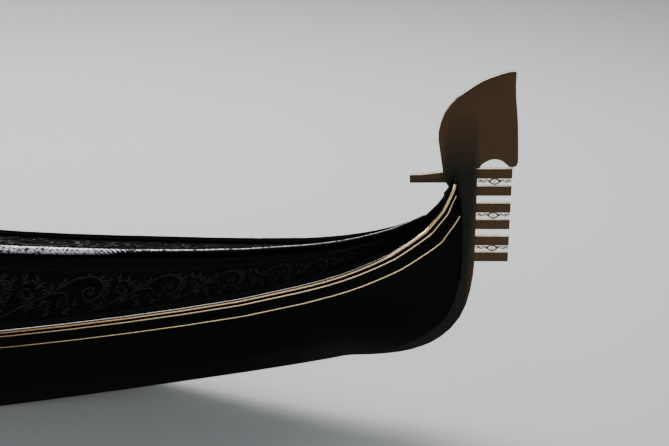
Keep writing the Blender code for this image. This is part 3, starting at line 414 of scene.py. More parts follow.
def apply_all(piece):
    """Makes a piece's modifiers part of its mesh."""
    take_up(piece)
    for modifier in list(piece.modifiers):
        bpy.ops.object.modifier_apply(modifier=modifier.name)


def ease(piece, width, smooth, finish, body):
    """Takes the sharpness off a new piece's edges and gives it a finish."""
    work(piece, "BEVEL", "eased", width=width, segments=2, limit_method="ANGLE")
    apply_all(piece)
    bpy.ops.object.shade_smooth_by_angle(angle=math.radians(smooth))
    wear(piece, finish)
    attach(piece, body)
    return piece


def plate_of(name, outline, half, finish, round_off, taper=None):
    """A board cut to an outline of (x, z), upright along the boat, with eased edges."""
    board = begin(bpy.ops.mesh.primitive_circle_add, name, vertices=len(outline), radius=1.0,
                  fill_type="NGON")
    for vertex, (x, z) in zip(board.data.vertices, outline):
        vertex.co = (x, -half, z)
    bpy.ops.object.mode_set(mode="EDIT")
    bpy.ops.mesh.select_all(action="SELECT")
    bpy.ops.mesh.extrude_region_move(TRANSFORM_OT_translate={"value": (0.0, 2.0 * half, 0.0)})
    face_outwards()
    for vertex in board.data.vertices if taper else ():
        vertex.co.y *= taper(vertex.co.z)
    return ease(board, round_off, 35.0, finish, "hull")


def head_taper(z):
    """Share of its full thickness that the stem head has at a height."""
    share = min(1.0, max(0.0, (z - HEAD_NARROWS_AT) / HEAD_NARROWS_OVER))
    return 1.0 - (1.0 - HEAD_HALF_TOP / HEAD_HALF) * share


head = plate_of("stem_head", HEAD_OUTLINE, HEAD_HALF, satin, 0.006, head_taper)
skin = tree_of("hull_side_port", "hull_side_starboard", "stem_block", "stern_block")
head_skin = BVHTree.FromPolygons([v.co.copy() for v in head.data.vertices],
                                 [list(p.vertices) for p in head.data.polygons])


def bend(points, count):
    """A smooth run of points through a few given ones."""
    points = [Vector(p) for p in points]
    points = [points[0] * 2 - points[1]] + points + [points[-1] * 2 - points[-2]]
    run = []
    for k in range(count):
        at = (len(points) - 3) * k / (count - 1)
        i = min(int(at), len(points) - 4)
        t = at - i
        a, b, c, d = points[i:i + 4]
        run.append(0.5 * (2 * b + (c - a) * t + (2 * a - 5 * b + 4 * c - d) * t * t
                          + (3 * b - a - 3 * c + d) * t * t * t))
    return run


def outermost(x, sign, z):
    """The outermost point on the planking or the stem head at a place, and its normal."""
    start, inwards = Vector((x, sign * ABEAM, z)), Vector((0.0, -sign, 0.0))
    hits = [tree.ray_cast(start, inwards)[:2] for tree in (skin, head_skin)]
    return max(hits, key=lambda found: sign * found[0].y if found[0] is not None else -math.inf)


def below_rail(rows, sign, depths, lift):
    """Points on the planking at a distance below the top of the rail, measured square to it."""
    route = []
    for x, top, _, _, _, climb in rows:
        down = graded(x, depths)
        hit, normal = outermost(x + down * math.sin(climb), sign, top - down * math.cos(climb))
        if hit is not None and abs(hit.y) > BEAD_CLEAR and (
                not route or hit.z > route[-1].z or hit.x < CLIMBS_FROM):
            route.append(hit + normal * lift)
    return route


def drawn_out(route, sign, reach, lift):
    """Carries a bead on past its last point, over the stem, by a distance forward and up."""
    for _ in range(2):
        at = route[-1] + Vector((reach[0], 0.0, reach[1])) * 0.5
        hit, normal = outermost(at.x, sign, at.z)
        route.append(hit + normal * lift if hit is not None else at)
    return route


for side, sign in SIDES:
    for level, depths, radius, reach in BEADS:
        route = below_rail(RAILS[side][:-3], sign, depths, radius * BEAD_LIFT)
        route = drawn_out(route, sign, reach, radius * BEAD_LIFT)
        route = route[:-BEAD_END] + bend(route[-BEAD_END:], BEAD_END_POINTS)
        shares = [min(1.0, BEAD_TIP + k / BEAD_SWELLS) for k in range(len(route))]
        line = [(*p, radius * min(a, b)) for p, a, b in zip(route, shares, shares[::-1])]
        rods("gilt_bead_%s_%s" % (level, side), [line], gilt)


# Each rail ends at the bow in a short horn beside the neck of the iron, closed by a small turned knob
# of browned iron.
KNOB = ((0.0030, 0.000), (0.0045, 0.002), (0.0028, 0.005), (0.0030, 0.009), (0.0062, 0.013),
        (0.0074, 0.018), (0.0066, 0.023), (0.0040, 0.026), (0.0012, 0.0275))
HORN_DOWN, HORN_IN, HORN_LEAST = 0.013, 0.003, 0.006
HORN_END_R, KNOB_DOWN, KNOB_FORE = 0.005, 0.004, 0.002

plate = Finish("browned_iron", (0.080, 0.044, 0.021), 0.42, 0.75)
plate_height, plate_reach = plate.along("Z"), plate.along("X")
plate_tone = plate.blend(plate.noise(3.5, detail=10.0), (0.100, 0.058, 0.028), (0.056, 0.032, 0.016))
# the plate's faces run from near black low down and along the shank to brown up the blade, on the spur and on the
# teeth
plate_spur = plate.between(5.01, 4.97, plate_reach) * plate.between(1.30, 1.35, plate_height)
plate_brown = (plate.between(1.36, 1.64, plate_height) + plate.between(5.112, 5.150, plate_reach)
               + plate_spur * 0.8)
plate.set("Base Color", plate.blend(plate_brown, (0.012, 0.012, 0.0085), plate_tone))
plate.set("Roughness", 0.34 + 0.24 * plate.noise(30.0, (1.0, 1.0, 0.25), 8.0))
plate.bump(plate.noise(180.0, (1.0, 1.0, 0.3), 6.0), 0.0005)


def turned(name, profile, foot, finish, body="hull", sides=16, aim=(0.0, 0.0, 1.0)):
    """A turned piece: a disc drawn up ring by ring through a profile of (radius, height)."""
    piece = begin(bpy.ops.mesh.primitive_circle_add, name, vertices=sides, radius=profile[0][0],
                  fill_type="NGON", location=(0.0, 0.0, profile[0][1]))
    bpy.ops.object.mode_set(mode="EDIT")
    bpy.ops.mesh.select_all(action="SELECT")
    for (r0, h0), (r1, h1) in zip(profile[:-1], profile[1:]):
        bpy.ops.mesh.extrude_region_move(TRANSFORM_OT_translate={"value": (0.0, 0.0, h1 - h0)})
        bpy.ops.transform.resize(value=(r1 / r0, r1 / r0, 1.0))
    face_outwards()
    bpy.ops.object.transform_apply(location=True, rotation=False, scale=False)
    bpy.ops.object.shade_smooth_by_angle(angle=math.radians(50.0))
    turn = Vector((0.0, 0.0, 1.0)).rotation_difference(Vector(aim)).to_matrix().to_4x4()
    piece.data.transform(Matrix.Translation(foot) @ turn)
    wear(piece, finish)
    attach(piece, body)
    return piece


for side, sign in SIDES:
    rows = RAILS[side]
    horn = []
    for x, top, low, outer, inner, _ in rows[-4:]:
        z = (top + low) / 2.0 if x > rows[-4][0] else top - HORN_DOWN
        horn.append((x, sign * (outer + inner) / 2.0, z, max(HORN_LEAST, (outer - inner) / 2.0 - HORN_IN)))
    tip_x, tip_y, tip_z = rows[-1][0], horn[-1][1], rows[-1][1] - KNOB_DOWN
    horn.append((tip_x, tip_y, tip_z, HORN_END_R))
    rods("rail_horn_" + side, [horn], satin, sides=4)
    turned("rail_knob_" + side, KNOB, (tip_x + KNOB_FORE, tip_y, tip_z), plate, aim=(0.25, 0.0, 1.0))


# The prow iron: one flat plate of iron with a broad blade and comb teeth, bright on its edges, and
# riveted to the stem down its long foot. Its faces are brown up the blade, on the spur and on the teeth,
# and near black lower down and along the shank.
FOOT_FROM, FOOT_TO, FOOT_BELOW, FOOT_LEFT = 4.98, 4.597, 0.75, 0.10
WORN_EDGE = 0.0014
SHADE_COAT_PROUD, SHADE_COAT_DEEP, SHADE_COAT_HALF = 0.0014, 0.006, 0.0308
SHADE_COAT_FROM, SHADE_COAT_STEP, SHADE_COAT_STEPS = 0.88, 0.0335, 11
PLATE_FACE = 0.0058
RIVET = ((0.0065, 0.0), (0.0060, 0.0016), (0.0040, 0.0032), (0.0014, 0.0040))
RIVETS = ((5.112, 1.26), (5.108, 1.13), (5.109, 1.00), (5.098, 0.87),
          (5.065, 0.755), (4.995, 0.655), (4.890, 0.575), (4.760, 0.505))

bright_steel = Finish("bright_steel", (0.80, 0.68, 0.50), 0.20, 1.0)
bright_steel.set("Roughness", 0.14 + 0.20 * bright_steel.noise(70.0, (1.0, 1.0, 0.4), 6.0))


def copied(node, name, body="hull"):
    """A new piece with the shape of a CAD node, its loose triangles joined into flat faces."""
    piece = bpy.data.objects.new(name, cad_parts[node].data.copy())
    bpy.context.scene.collection.objects.link(piece)
    take_up(piece)
    bpy.ops.object.mode_set(mode="EDIT")
    bpy.ops.mesh.select_all(action="SELECT")
    bpy.ops.mesh.remove_doubles(threshold=0.0001)
    bpy.ops.mesh.dissolve_limited(angle_limit=math.radians(1.0))
    bpy.ops.mesh.select_all(action="DESELECT")
    bpy.ops.object.mode_set(mode="OBJECT")
    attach(piece, body)
    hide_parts(node)
    return piece


iron = copied("prow_iron", "prow_plate")
stem_skin = tree_of("stem_block")
# the foot is filed thinner and thinner towards its end
for vertex in iron.data.vertices:
    if vertex.co.x < FOOT_FROM and vertex.co.z < FOOT_BELOW:
        rest = stem_skin.find_nearest(Vector((vertex.co.x, 0.0, vertex.co.z)))[0]
        share = max(0.0, (vertex.co.x - FOOT_TO) / (FOOT_FROM - FOOT_TO))
        keep = FOOT_LEFT + (1.0 - FOOT_LEFT) * share ** 0.8
        vertex.co.x = rest.x + (vertex.co.x - rest.x) * keep
        vertex.co.z = rest.z + (vertex.co.z - rest.z) * keep
wear(iron, plate)
iron.data.materials.append(bright_steel.material)
for polygon in iron.data.polygons:
    polygon.material_index = 0 if abs(polygon.normal.y) > 0.7 else 1
work(iron, "BEVEL", "worn_edge", width=WORN_EDGE, segments=2, limit_method="ANGLE",
     angle_limit=math.radians(40.0), material=1)
apply_all(iron)

# a thin, dull black coat over the face of the stem, under the iron, is painted shade: a dark sheet that reflects
# nothing, so the stem's edge stays dark where the hull meets the iron
pitch = Finish("pitch", (0.003, 0.003, 0.003), 0.90, IOR=1.0)
pitch.set("Roughness", 0.80 + 0.15 * pitch.noise(60.0))
pitch.bump(pitch.noise(120.0), 0.0004)
face = [stem_skin.ray_cast(Vector((6.0, 0.02, SHADE_COAT_FROM + SHADE_COAT_STEP * k)), Vector((-1.0, 0.0, 0.0)))[0]
        for k in range(SHADE_COAT_STEPS)]
shade_coat_outline = [(at.x + SHADE_COAT_PROUD, at.z) for at in face] + [(at.x - SHADE_COAT_DEEP, at.z) for at in face[::-1]]
plate_of("stem_painted_shade", shade_coat_outline, SHADE_COAT_HALF, pitch, 0.0005)

for count, (x, z) in enumerate(RIVETS):
    for label, sign in SIDES:
        turned("plate_rivet_%d_%s" % (count + 1, label), RIVET, (x, sign * PLATE_FACE, z), plate, sides=10,
               aim=(0.0, sign, 0.0))


# Three pierced ornaments in the comb: a twisted pair of bars with a leaf-shaped ring in the middle,
# cast in a bright metal and riveted between the teeth. One bar of each twist and the ring are drawn in
# the dark iron as painted shade, the dark outlines of the twist.
TWIST_TURNS, TWIST_STEPS = 3.5, 16
TWIST_SWING, TWIST_DEEP = 0.0052, 0.0024
TWIST_BAR, TWIST_BAR_THIN = 0.0026, 0.95
TWIST_UP, TWIST_INNER, TWIST_SHORT = 0.0035, 0.017, 0.001
RAKE = 0.045
LEAF_LONG, LEAF_HIGH, LEAF_DOWN, LEAF_BAR = 0.0185, 0.0115, 0.002, 0.0029
DROP = ((-0.0055, 0.0015), (-0.002, 0.0040), (0.0015, 0.0040), (0.0055, 0.0015))
EYE = ((0.013, 0.0018), (0.006, 0.0056), (0.001, 0.0030))
ROUND = [math.tau * k / 24 for k in range(25)]

for number in (1, 2, 3):
    low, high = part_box("prow_ornament_%d" % number)
    mid_x, mid_z = (low.x + high.x) / 2.0, (low.z + high.z) / 2.0 + TWIST_UP
    half = (high.x - low.x) / 2.0 - TWIST_SHORT
    strands = []
    for phase in (0.0, math.pi):
        for hand in (-1.0, 1.0):
            strand = []
            for k in range(TWIST_STEPS + 1):
                a = half - (half - TWIST_INNER) * k / TWIST_STEPS
                turn = phase + TWIST_TURNS * math.pi * k / TWIST_STEPS
                strand.append((mid_x + hand * a, TWIST_DEEP * math.cos(turn),
                               mid_z + hand * a * RAKE + TWIST_SWING * math.sin(turn),
                               TWIST_BAR * (1.0 if phase else TWIST_BAR_THIN)))
            strands.append(strand)
    ring = [(mid_x + LEAF_LONG * math.cos(a), 0.0,
             mid_z - LEAF_DOWN + LEAF_HIGH * math.sin(a) * abs(math.sin(a)) ** 0.35, LEAF_BAR) for a in ROUND]
    drop = [(mid_x, 0.0, mid_z - LEAF_DOWN + up, r) for up, r in DROP]
    eyes = [[(mid_x + hand * (half - inset), 0.0, mid_z + hand * half * RAKE, r) for inset, r in EYE]
            for hand in (-1.0, 1.0)]
    ornament = rods("comb_ornament_%d" % number, strands[2:] + [drop] + eyes, bright_steel, sides=3)
    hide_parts("prow_ornament_%d" % number)
    # painted shade: the other bar of each twist and the leaf ring take the dark iron finish, for the twist's dark
    # outlines
    rods("comb_painted_shade_%d" % number, strands[:2] + [ring], plate, sides=3)


# The fore deck: two lacquered panels that fall from the ridge to the rails. A plain cove lies next
# to the ridge, then a beaded line, and outside it a field of running scrolls in low relief.
COVE, COVE_SHARE = 0.088, 0.34
FIELD_IN, FIELD_MARGIN = 0.010, 0.020
END_IN, RIDGE_IN, RAIL_IN = 0.002, 0.0105, 0.0015
DECK_ABOVE = 4.0
RELIEF = 0.50
SCROLL_PITCH = 1.75
PEARL_PITCH, PEARL_R, PEARL_GAP_R, PEARL_LIFT = 0.0125, 0.0036, 0.42, 0.0006

carved = Finish("carved_lacquer", (0.0044, 0.0044, 0.0047), 0.16, IOR=1.06)
carved.set("Roughness", 0.06 + 0.20 * carved.noise(18.0, detail=6.0))
carved.bump(carved.noise(140.0, (0.4, 1.0, 1.0), 4.0), 0.0007)


class DeckSide:
    """One side of a deck, to lay flat ornament on it: x along the boat, s across the slope."""

    tapered = True

    def __init__(self, node, side, sign):
        self.tree, self.rows, self.sign = tree_of(node), RAILS[side], sign
        self.first, self.last = [corner.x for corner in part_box(node)]

    def rail_y(self, x):
        """Distance of the rail's inner edge from the ridge."""
        return float(np.interp(x, self.rows[:, 0], self.rows[:, 4]))

    def spot(self, x, y):
        """Deck surface and its normal at x and y, where y counts outwards from the ridge."""
        x = min(max(x, self.first + END_IN), self.last - END_IN)
        y = min(max(y, RIDGE_IN), self.rail_y(x) - RAIL_IN)
        return self.tree.ray_cast(Vector((x, self.sign * y, DECK_ABOVE)), Vector((0.0, 0.0, -1.0)))[:2]

    def cove(self, x):
        """Distance of the beaded line from the ridge."""
        return min(COVE, COVE_SHARE * self.rail_y(x))

    def field(self, x):
        """Inner and outer edge of the carved field, and its true width down the slope."""
        inner, outer = self.cove(x) + FIELD_IN, self.rail_y(x) - FIELD_MARGIN
        a, b = self.spot(x, inner)[0], self.spot(x, outer)[0]
        return inner, outer, (a - b).length

    def width(self, x):
        return self.field(x)[2]

    def lay(self, piece):
        """Moves a piece drawn flat, as x, s and height, onto the deck's field."""
        for vertex in piece.data.vertices:
            x, s, height = vertex.co
            inner, outer, width = self.field(x)
            hit, normal = self.spot(x, inner + (outer - inner) * s / width)
            vertex.co = hit + normal * height * RELIEF if hit is not None else vertex.co
        return piece

    def line(self, offset, start, end, step, lift):
        """Points on the deck along the boat; offset(x) is the distance from the ridge."""
        spots = [self.spot(start + k * step, offset(start + k * step))
                 for k in range(int((end - start) / step) + 1)]
        return [hit + normal * lift for hit, normal in spots if hit is not None]


def leaf(x, y, aim, length, breadth, curl=0.5):
    """A carved leaf lobe as a short bar that swells and tapers, drawn flat."""
    points = []
    for share, size in ((0.0, 0.45), (0.22, 0.9), (0.5, 1.0), (0.78, 0.7), (1.0, 0.18)):
        turn = aim + curl * (share - 0.2)
        points.append((x + length * share * math.cos(turn), y + length * share * math.sin(turn), 0.0,
                       breadth * size))
    return points


def spiral(x, y, start, first, last, turns, thick, thin, steps):
    """A curl that winds in from a starting angle; negative turns wind clockwise."""
    line = []
    for k in range(steps):
        t = k / (steps - 1.0)
        reach = first * (last / first) ** t
        angle = math.radians(start) + math.tau * turns * t
        line.append((x + reach * math.cos(angle), y + reach * math.sin(angle), 0.0, thick + (thin - thick) * t))
    return line


def acanthus(x, y, aim, size):
    """A leaf of four lobes that fan out from one foot."""
    return [leaf(x, y, aim + lobe, size * (1.0 - 0.42 * abs(lobe)), size * 0.150, 0.55 if lobe > 0 else -0.55)
            for lobe in (-0.75, -0.35, 0.05, 0.45)]


# One unit of the scroll, in shares of its length and width. Each curl is its place, starting angle,
# first and last reach, turns, bar at both ends, steps and size of rosette.
STEM = ((-0.10, 0.03), (0.0, 0.06), (0.12, 0.13), (0.24, 0.25), (0.44, 0.43), (0.60, 0.64),
        (0.738, 0.849), (0.794, 0.899))
CURLS = ((0.90, 0.50, 130.0, 0.45, 0.045, -1.9, 0.040, 0.020, 36, 1.0),
         (0.235, 0.52, -92.0, 0.265, 0.030, 1.35, 0.030, 0.015, 26, 0.62),
         (0.63, 0.29, 141.0, 0.30, 0.030, -1.35, 0.030, 0.015, 26, 0.62))
CURL_LEAVES = ((104, 0.395, 0.19), (66, 0.350, 0.23), (28, 0.305, 0.24), (-14, 0.262, 0.22), (-60, 0.225, 0.18))
STEM_LEAVES = ((0.05, 0.10, 2.30, 0.26), (0.34, 0.35, 2.30, 0.26), (0.52, 0.53, 2.45, 0.28),
               (0.64, 0.72, 2.60, 0.20), (0.30, 0.27, -0.55, 0.26), (0.46, 0.38, -1.15, 0.26),
               (0.10, 0.70, 2.20, 0.28), (0.21, 0.74, 1.00, 0.26), (0.36, 0.62, 1.35, 0.34),
               (0.55, 0.12, 3.50, 0.26), (0.68, 0.09, -0.05, 0.24), (0.76, 0.24, 0.60, 0.16),
               (0.13, 0.52, 3.40, 0.20))


def scroll_cell(width, length):
    """One unit of a running scroll, drawn flat: a stem climbs, turns over into a large curl, and puts
    out two small curls and acanthus leaves on its way."""
    stem = bend([(length * x, width * y, 0.0) for x, y in STEM], 16)
    lines = [[(p.x, p.y, 0.0, width * (0.026 + 0.014 * k / 15.0)) for k, p in enumerate(stem)]]
    for x, y, start, first, last, turns, thick, thin, steps, _ in CURLS:
        lines.append(spiral(length * x, width * y, start, width * first, width * last, turns,
                            width * thick, width * thin, steps))
    big_x, big_y = length * CURLS[0][0], width * CURLS[0][1]
    for degrees, reach, size in CURL_LEAVES:
        turn = math.radians(degrees)
        lines += acanthus(big_x + width * reach * math.cos(turn), big_y + width * reach * math.sin(turn),
                          turn - 0.9, width * size)
    for x, y, aim, size in STEM_LEAVES:
        lines += acanthus(length * x, width * y, aim, width * size)
    for x, y, size in [(length * row[0], width * row[1], row[-1]) for row in CURLS]:
        out, eye = width * 0.018 * size, width * 0.010 * size
        for angle in [math.pi * k / 3.0 for k in range(6)]:
            lines.append(leaf(x + width * 0.014 * size * math.cos(angle), y + width * 0.014 * size * math.sin(angle),
                              angle, width * 0.058 * size, width * 0.020 * size, 0.3))
        lines.append([(x - out, y, 0.0, eye), (x, y, 0.0, width * 0.030 * size), (x + out, y, 0.0, eye)])
    return lines


def carve(surface, start, end, direction, smallest=0.040):
    """A run of scrolls on a surface, each unit as high as the field is where it lies."""
    lines, x = [], start
    while (end - x) * direction > 0.0:
        width = surface.width(x)
        # under a gable's slope a unit shrinks until its far end fits as well
        while not surface.tapered and smallest / 2.0 < width > surface.width(x + direction * SCROLL_PITCH * width):
            width *= 0.96
        length = SCROLL_PITCH * width
        beyond = x + direction * length
        width = min(width, surface.width(beyond)) if (end - beyond) * direction > 0.0 else 0.0
        if width < smallest and x != start:
            break
        for line in scroll_cell(width, length) if width >= smallest else ():
            laid = []
            for px, py, pz, pr in line:
                local = surface.width(x + direction * px) if surface.tapered else width
                share = min(0.985, max(0.015, py / width))
                laid.append((x + direction * px, local * (1.0 - share if surface.tapered else share), pz, pr))
            lines.append(laid)
        x = beyond
    return lines


def carve_deck(label, deck, start, end, direction):
    """Relief, beaded line and fillets for one side of a deck, from its wide end to its tip."""
    relief = deck.lay(rods("scrolls_" + label, carve(deck, start, end, direction), carved, sides=1))
    first, last = (start - 0.04, end) if direction > 0.0 else (end, start + 0.04)
    pearls = [(*point, PEARL_R if k % 2 else PEARL_R * PEARL_GAP_R)
              for k, point in enumerate(deck.line(deck.cove, first, last, PEARL_PITCH / 2.0, PEARL_LIFT))]
    rods("beading_" + label, [pearls], carved, sides=1)
    fillets = [[(*point, radius) for point in deck.line(offset, first, last, 0.03, 0.0)]
               for offset, radius in ((lambda x: 0.036, 0.0022), (lambda x: deck.cove(x) - 0.009, 0.0015),
                                      (lambda x: deck.cove(x) + 0.007, 0.0015),
                                      (lambda x: deck.rail_y(x) - 0.010, 0.0026))]
    rods("fillets_" + label, fillets, carved, sides=1)


fore_low, fore_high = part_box("foredeck_ridge")
for side, sign in SIDES:
    wear(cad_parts["foredeck_" + side], satin)
    carve_deck("fore_" + side, DeckSide("foredeck_" + side, side, sign), fore_low.x + 0.06,
               fore_high.x - 0.16, 1.0)


# The ridge of each deck is a rope of four strands carved in wood and lacquered black, thick at the
# well and thin towards the tip. Its pale silver blotches are painted highlight, the sheen of the glossy strands.
ROPE_PITCH, ROPE_STEPS = 0.085, 14
ROPE_STRANDS, STRAND_POINTS = 4, 6
ROPE_VALLEY, ROPE_ROUND = 0.86, 0.14
ROPE_TAPER = ((0.0, 1.42), (0.34, 1.28), (0.48, 0.95), (0.58, 0.46), (0.68, 0.21), (1.0, 0.13))
ROPE_END = ((0.90, 0.000), (1.05, 0.003), (1.09, 0.007), (1.03, 0.011), (0.84, 0.013), (0.78, 0.016),
            (0.56, 0.021), (0.28, 0.0235), (0.04, 0.0240))

rope_finish = Finish("black_rope_painted_highlight", (0.42, 0.39, 0.45), 0.30, 0.40)
# painted highlight: pale silver-lilac blotches over the near-black lacquer stand for the light's reflection on the
# strands
rope_painted_highlight = rope_finish.between(0.50, 0.60, rope_finish.noise(75.0, detail=8.0))
rope_finish.set("Base Color", rope_finish.blend(rope_painted_highlight, (0.68, 0.63, 0.72), (0.020, 0.018, 0.024)))
rope_finish.set("Roughness", 0.10 + 0.25 * rope_finish.noise(90.0, detail=6.0))
rope_finish.bump(rope_finish.noise(260.0, detail=3.0), 0.0008)


def rope_ridge(name, node):
    """Twists a lobed ring into a rope along a deck's ridge, and closes its end at the well."""
    rows = np.array([(x, max(c.z for c in cut), max(c.y for c in cut)) for x, cut in slices(node)])
    start, end = rows[0, 0], rows[-1, 0]
    well_end, outwards = (start, -1.0) if start > 0.0 else (end, 1.0)
    turns = int((end - start) / ROPE_PITCH)
    rope = begin(bpy.ops.mesh.primitive_circle_add, name, vertices=ROPE_STRANDS * STRAND_POINTS, radius=1.0)
    for vertex in rope.data.vertices:
        angle = math.atan2(vertex.co.y, vertex.co.x)
        radius = ROPE_VALLEY + ROPE_ROUND * abs(math.cos(ROPE_STRANDS * angle / 2.0)) ** 0.8
        vertex.co = (0.0, radius * math.cos(angle), radius * math.sin(angle))
    work(rope, "SCREW", "twist", axis="X", angle=math.tau, steps=ROPE_STEPS, render_steps=ROPE_STEPS,
         screw_offset=(end - start) / turns, iterations=turns, use_merge_vertices=True)
    apply_all(rope)
    for vertex in rope.data.vertices:
        x = start + min(max(vertex.co.x, 0.0), end - start)
        top, half = np.interp(x, rows[:, 0], rows[:, 1]), np.interp(x, rows[:, 0], rows[:, 2])
        radius = half * graded(abs(x - well_end) / (end - start), ROPE_TAPER)
        sunk = min(1.0, radius / half)
        vertex.co = (x, vertex.co.y * radius, top - half * sunk * (0.45 + 0.55 * sunk) + vertex.co.z * radius)
    close_seams()
    bpy.ops.object.shade_smooth_by_angle(angle=math.radians(60.0))
    wear(rope, rope_finish)
    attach(rope, "hull")
    # a turned button closes the rope over the gable
    top, half = rows[rows[:, 0] == well_end][0, 1:]
    turned(name + "_button", [(r * half * ROPE_TAPER[0][1], h) for r, h in ROPE_END],
                   (well_end - outwards * 0.002, 0.0, top - half), rope_finish, aim=(outwards, 0.0, 0.0))
    wear(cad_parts[node], lacquer)


rope_ridge("fore_rope", "foredeck_ridge")
rope_ridge("aft_rope", "aftdeck_ridge")


# The fore deck's gable closes on the bow bulkhead. A carved walnut board dresses it, and under the
# board a framed door with brass butts and a turned knob opens to the locker.
FIELD_RIM = 0.030
GABLE_ABOVE, BOARD_BACK = 3.0, 0.006
BORDER_IN, BORDER_R, BORDER_STEPS, BORDER_FLAT = 0.016, 0.0035, 20, 0.7
GABLE_START, GABLE_CLEAR, GABLE_LEAST, GABLE_ENDS = 0.088, 0.020, 0.026, 0.012
DOOR_FRAME, PANEL_IN = 0.030, 0.052
KNOB_FOOT = ((0.011, 0.0), (0.0105, 0.002), (0.0045, 0.004), (0.0040, 0.009), (0.0085, 0.014),
             (0.0100, 0.019), (0.0085, 0.024), (0.0040, 0.0265), (0.0010, 0.0270))
WALNUT, WALNUT_DARK = (0.205, 0.092, 0.038), (0.072, 0.030, 0.014)
GRAIN = {"x": (0.10, 1.0, 1.0), "y": (1.0, 0.10, 1.0), "z": (1.0, 1.0, 0.10)}

brass = Finish("polished_brass", (0.78, 0.56, 0.25), 0.18, 1.0)
brass.set("Base Color", brass.blend(brass.noise(11.0, detail=7.0), (0.84, 0.63, 0.31), (0.60, 0.40, 0.16)))
brass.set("Roughness", 0.13 + 0.18 * brass.noise(45.0, detail=6.0))


def wood(name, light, dark, stretch, roughness=0.34, coat=0.25):
    """Oiled wood with its grain along the axis that has the smallest stretch."""
    made = Finish(name, light, roughness, Coat_Weight=coat, Coat_Roughness=0.22)
    streaks = made.noise(13.0, stretch, 7.0, 0.9)
    pores = made.noise(150.0, stretch, 3.0)
    made.set("Base Color", made.blend(made.between(0.30, 0.72, streaks), light, dark))
    made.set("Roughness", roughness - 0.08 + 0.20 * pores)
    made.bump(pores + 0.4 * streaks, 0.0006)
    return made


walnut_x, walnut_y, walnut_z = [wood("oiled_walnut_" + axis, WALNUT, WALNUT_DARK, GRAIN[axis]) for axis in "xyz"]


def block(name, low, high, finish, body="hull", round_off=0.002):
    """A planed and eased piece of wood or metal between two corners."""
    piece = begin(bpy.ops.mesh.primitive_cube_add, name, size=1.0,
                  location=[(a + b) / 2.0 for a, b in zip(low, high)], scale=[b - a for a, b in zip(low, high)])
    bpy.ops.object.transform_apply(location=True, rotation=False, scale=True)
    return ease(piece, round_off, 40.0, finish, body)


class GableSide:
    """Half of a gable board, to carve it: x out from its middle, s up from its lower edge."""

    tapered = False

    def __init__(self, node, face, outwards, sign, floor):
        self.tree, self.face, self.out, self.sign = tree_of(node), face, outwards, sign
        self.low = floor + FIELD_RIM

    def top(self, x):
        """Height of the board's upper edge."""
        hit = self.tree.ray_cast(Vector((self.face - self.out * BOARD_BACK, self.sign * x, GABLE_ABOVE)),
                                 Vector((0.0, 0.0, -1.0)))[0]
        return hit.z if hit is not None else self.low

    def width(self, x):
        return self.top(x) - FIELD_RIM - self.low

    def lay(self, piece):
        """Moves a piece drawn flat, as x, s and height, onto the board."""
        for vertex in piece.data.vertices:
            x, s, height = vertex.co
            vertex.co = (self.face + self.out * height * RELIEF, self.sign * x, self.low + s)
        return piece


def leaf_fan(lobes, step, x, y, length, shorter, breadth):
    """An upright fan of straight leaves about a foot, the outer ones shorter."""
    return [leaf(x, y, math.pi / 2 - k * step, length - shorter * abs(k), breadth, 0.0)
            for k in range(-lobes, lobes + 1)]


def carve_gable(label, node, outwards, finish):
    """Scrolls, a leaf fan in the middle and a border on a gable board."""
    board_low, board_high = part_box(node)
    face, floor = board_low.x if outwards < 0.0 else board_high.x, board_low.z
    reach = {"port": board_high.y - GABLE_ENDS, "starboard": -board_low.y - GABLE_ENDS}
    halves = [(side, sign, GableSide(node, face, outwards, sign, floor)) for side, sign in SIDES]
    for side, sign, surface in halves:
        lines = carve(surface, GABLE_START, reach[side] - GABLE_CLEAR, 1.0, GABLE_LEAST)
        piece = surface.lay(rods("gable_scrolls_%s_%s" % (label, side), lines, finish, sides=1))
    middle = surface.low + 0.010
    lines = [[(face, x, y, r) for x, y, _, r in lobe]
             for lobe in leaf_fan(4, 0.36, 0.0, middle + 0.020, 0.105, 0.008, 0.0062)]
    lines.append([(face, -0.016, middle + 0.012, 0.004), (face, 0.0, middle + 0.012, 0.013),
                  (face, 0.016, middle + 0.012, 0.004)])
    border = []
    for side, sign, surface in halves[::-1]:
        run = [(face, sign * reach[side] * k / BORDER_STEPS,
                surface.top(reach[side] * k / BORDER_STEPS) - BORDER_IN, BORDER_R) for k in range(BORDER_STEPS)]
        border += run[::-1] if not border else run
    foot = floor + BORDER_IN
    border = [(face, border[0][1], foot, BORDER_R)] + border + [(face, border[-1][1], foot, BORDER_R)]
    piece = rods("gable_border_" + label, lines + [border + border[:1]], finish, sides=2)
    for vertex in piece.data.vertices:
        vertex.co.x = face + (vertex.co.x - face) * BORDER_FLAT


soften("fore_bulkhead", 0.002, lacquer)
soften("foredeck_end_board", 0.003, walnut_y)
carve_gable("fore", "foredeck_end_board", -1.0, walnut_y)

soften("bow_locker_door", 0.003, walnut_z)
door_low, door_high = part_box("bow_locker_door")
DOOR_X = door_low.x
stile_in, stile_out = door_low.y + DOOR_FRAME, door_high.y - DOOR_FRAME
for label, y0, y1, z0, z1, grain in (
        ("port", stile_out, door_high.y, door_low.z, door_high.z, walnut_z),
        ("starboard", door_low.y, stile_in, door_low.z, door_high.z, walnut_z),
        ("foot", stile_in, stile_out, door_low.z, door_low.z + DOOR_FRAME, walnut_y),
        ("head", stile_in, stile_out, door_high.z - DOOR_FRAME, door_high.z, walnut_y)):
    block("door_frame_" + label, (DOOR_X - 0.007, y0, z0), (DOOR_X + 0.001, y1, z1), grain,
                  "bow_door", 0.0025)
block("door_panel", (DOOR_X - 0.006, door_low.y + PANEL_IN, door_low.z + PANEL_IN),
              (DOOR_X + 0.001, door_high.y - PANEL_IN, door_high.z - PANEL_IN), walnut_z, "bow_door", 0.005)
turned("door_knob", KNOB_FOOT, (DOOR_X - 0.006, door_low.y + DOOR_FRAME / 2, (door_low.z + door_high.z) / 2),
               brass, "bow_door", aim=(-1.0, 0.0, 0.0))
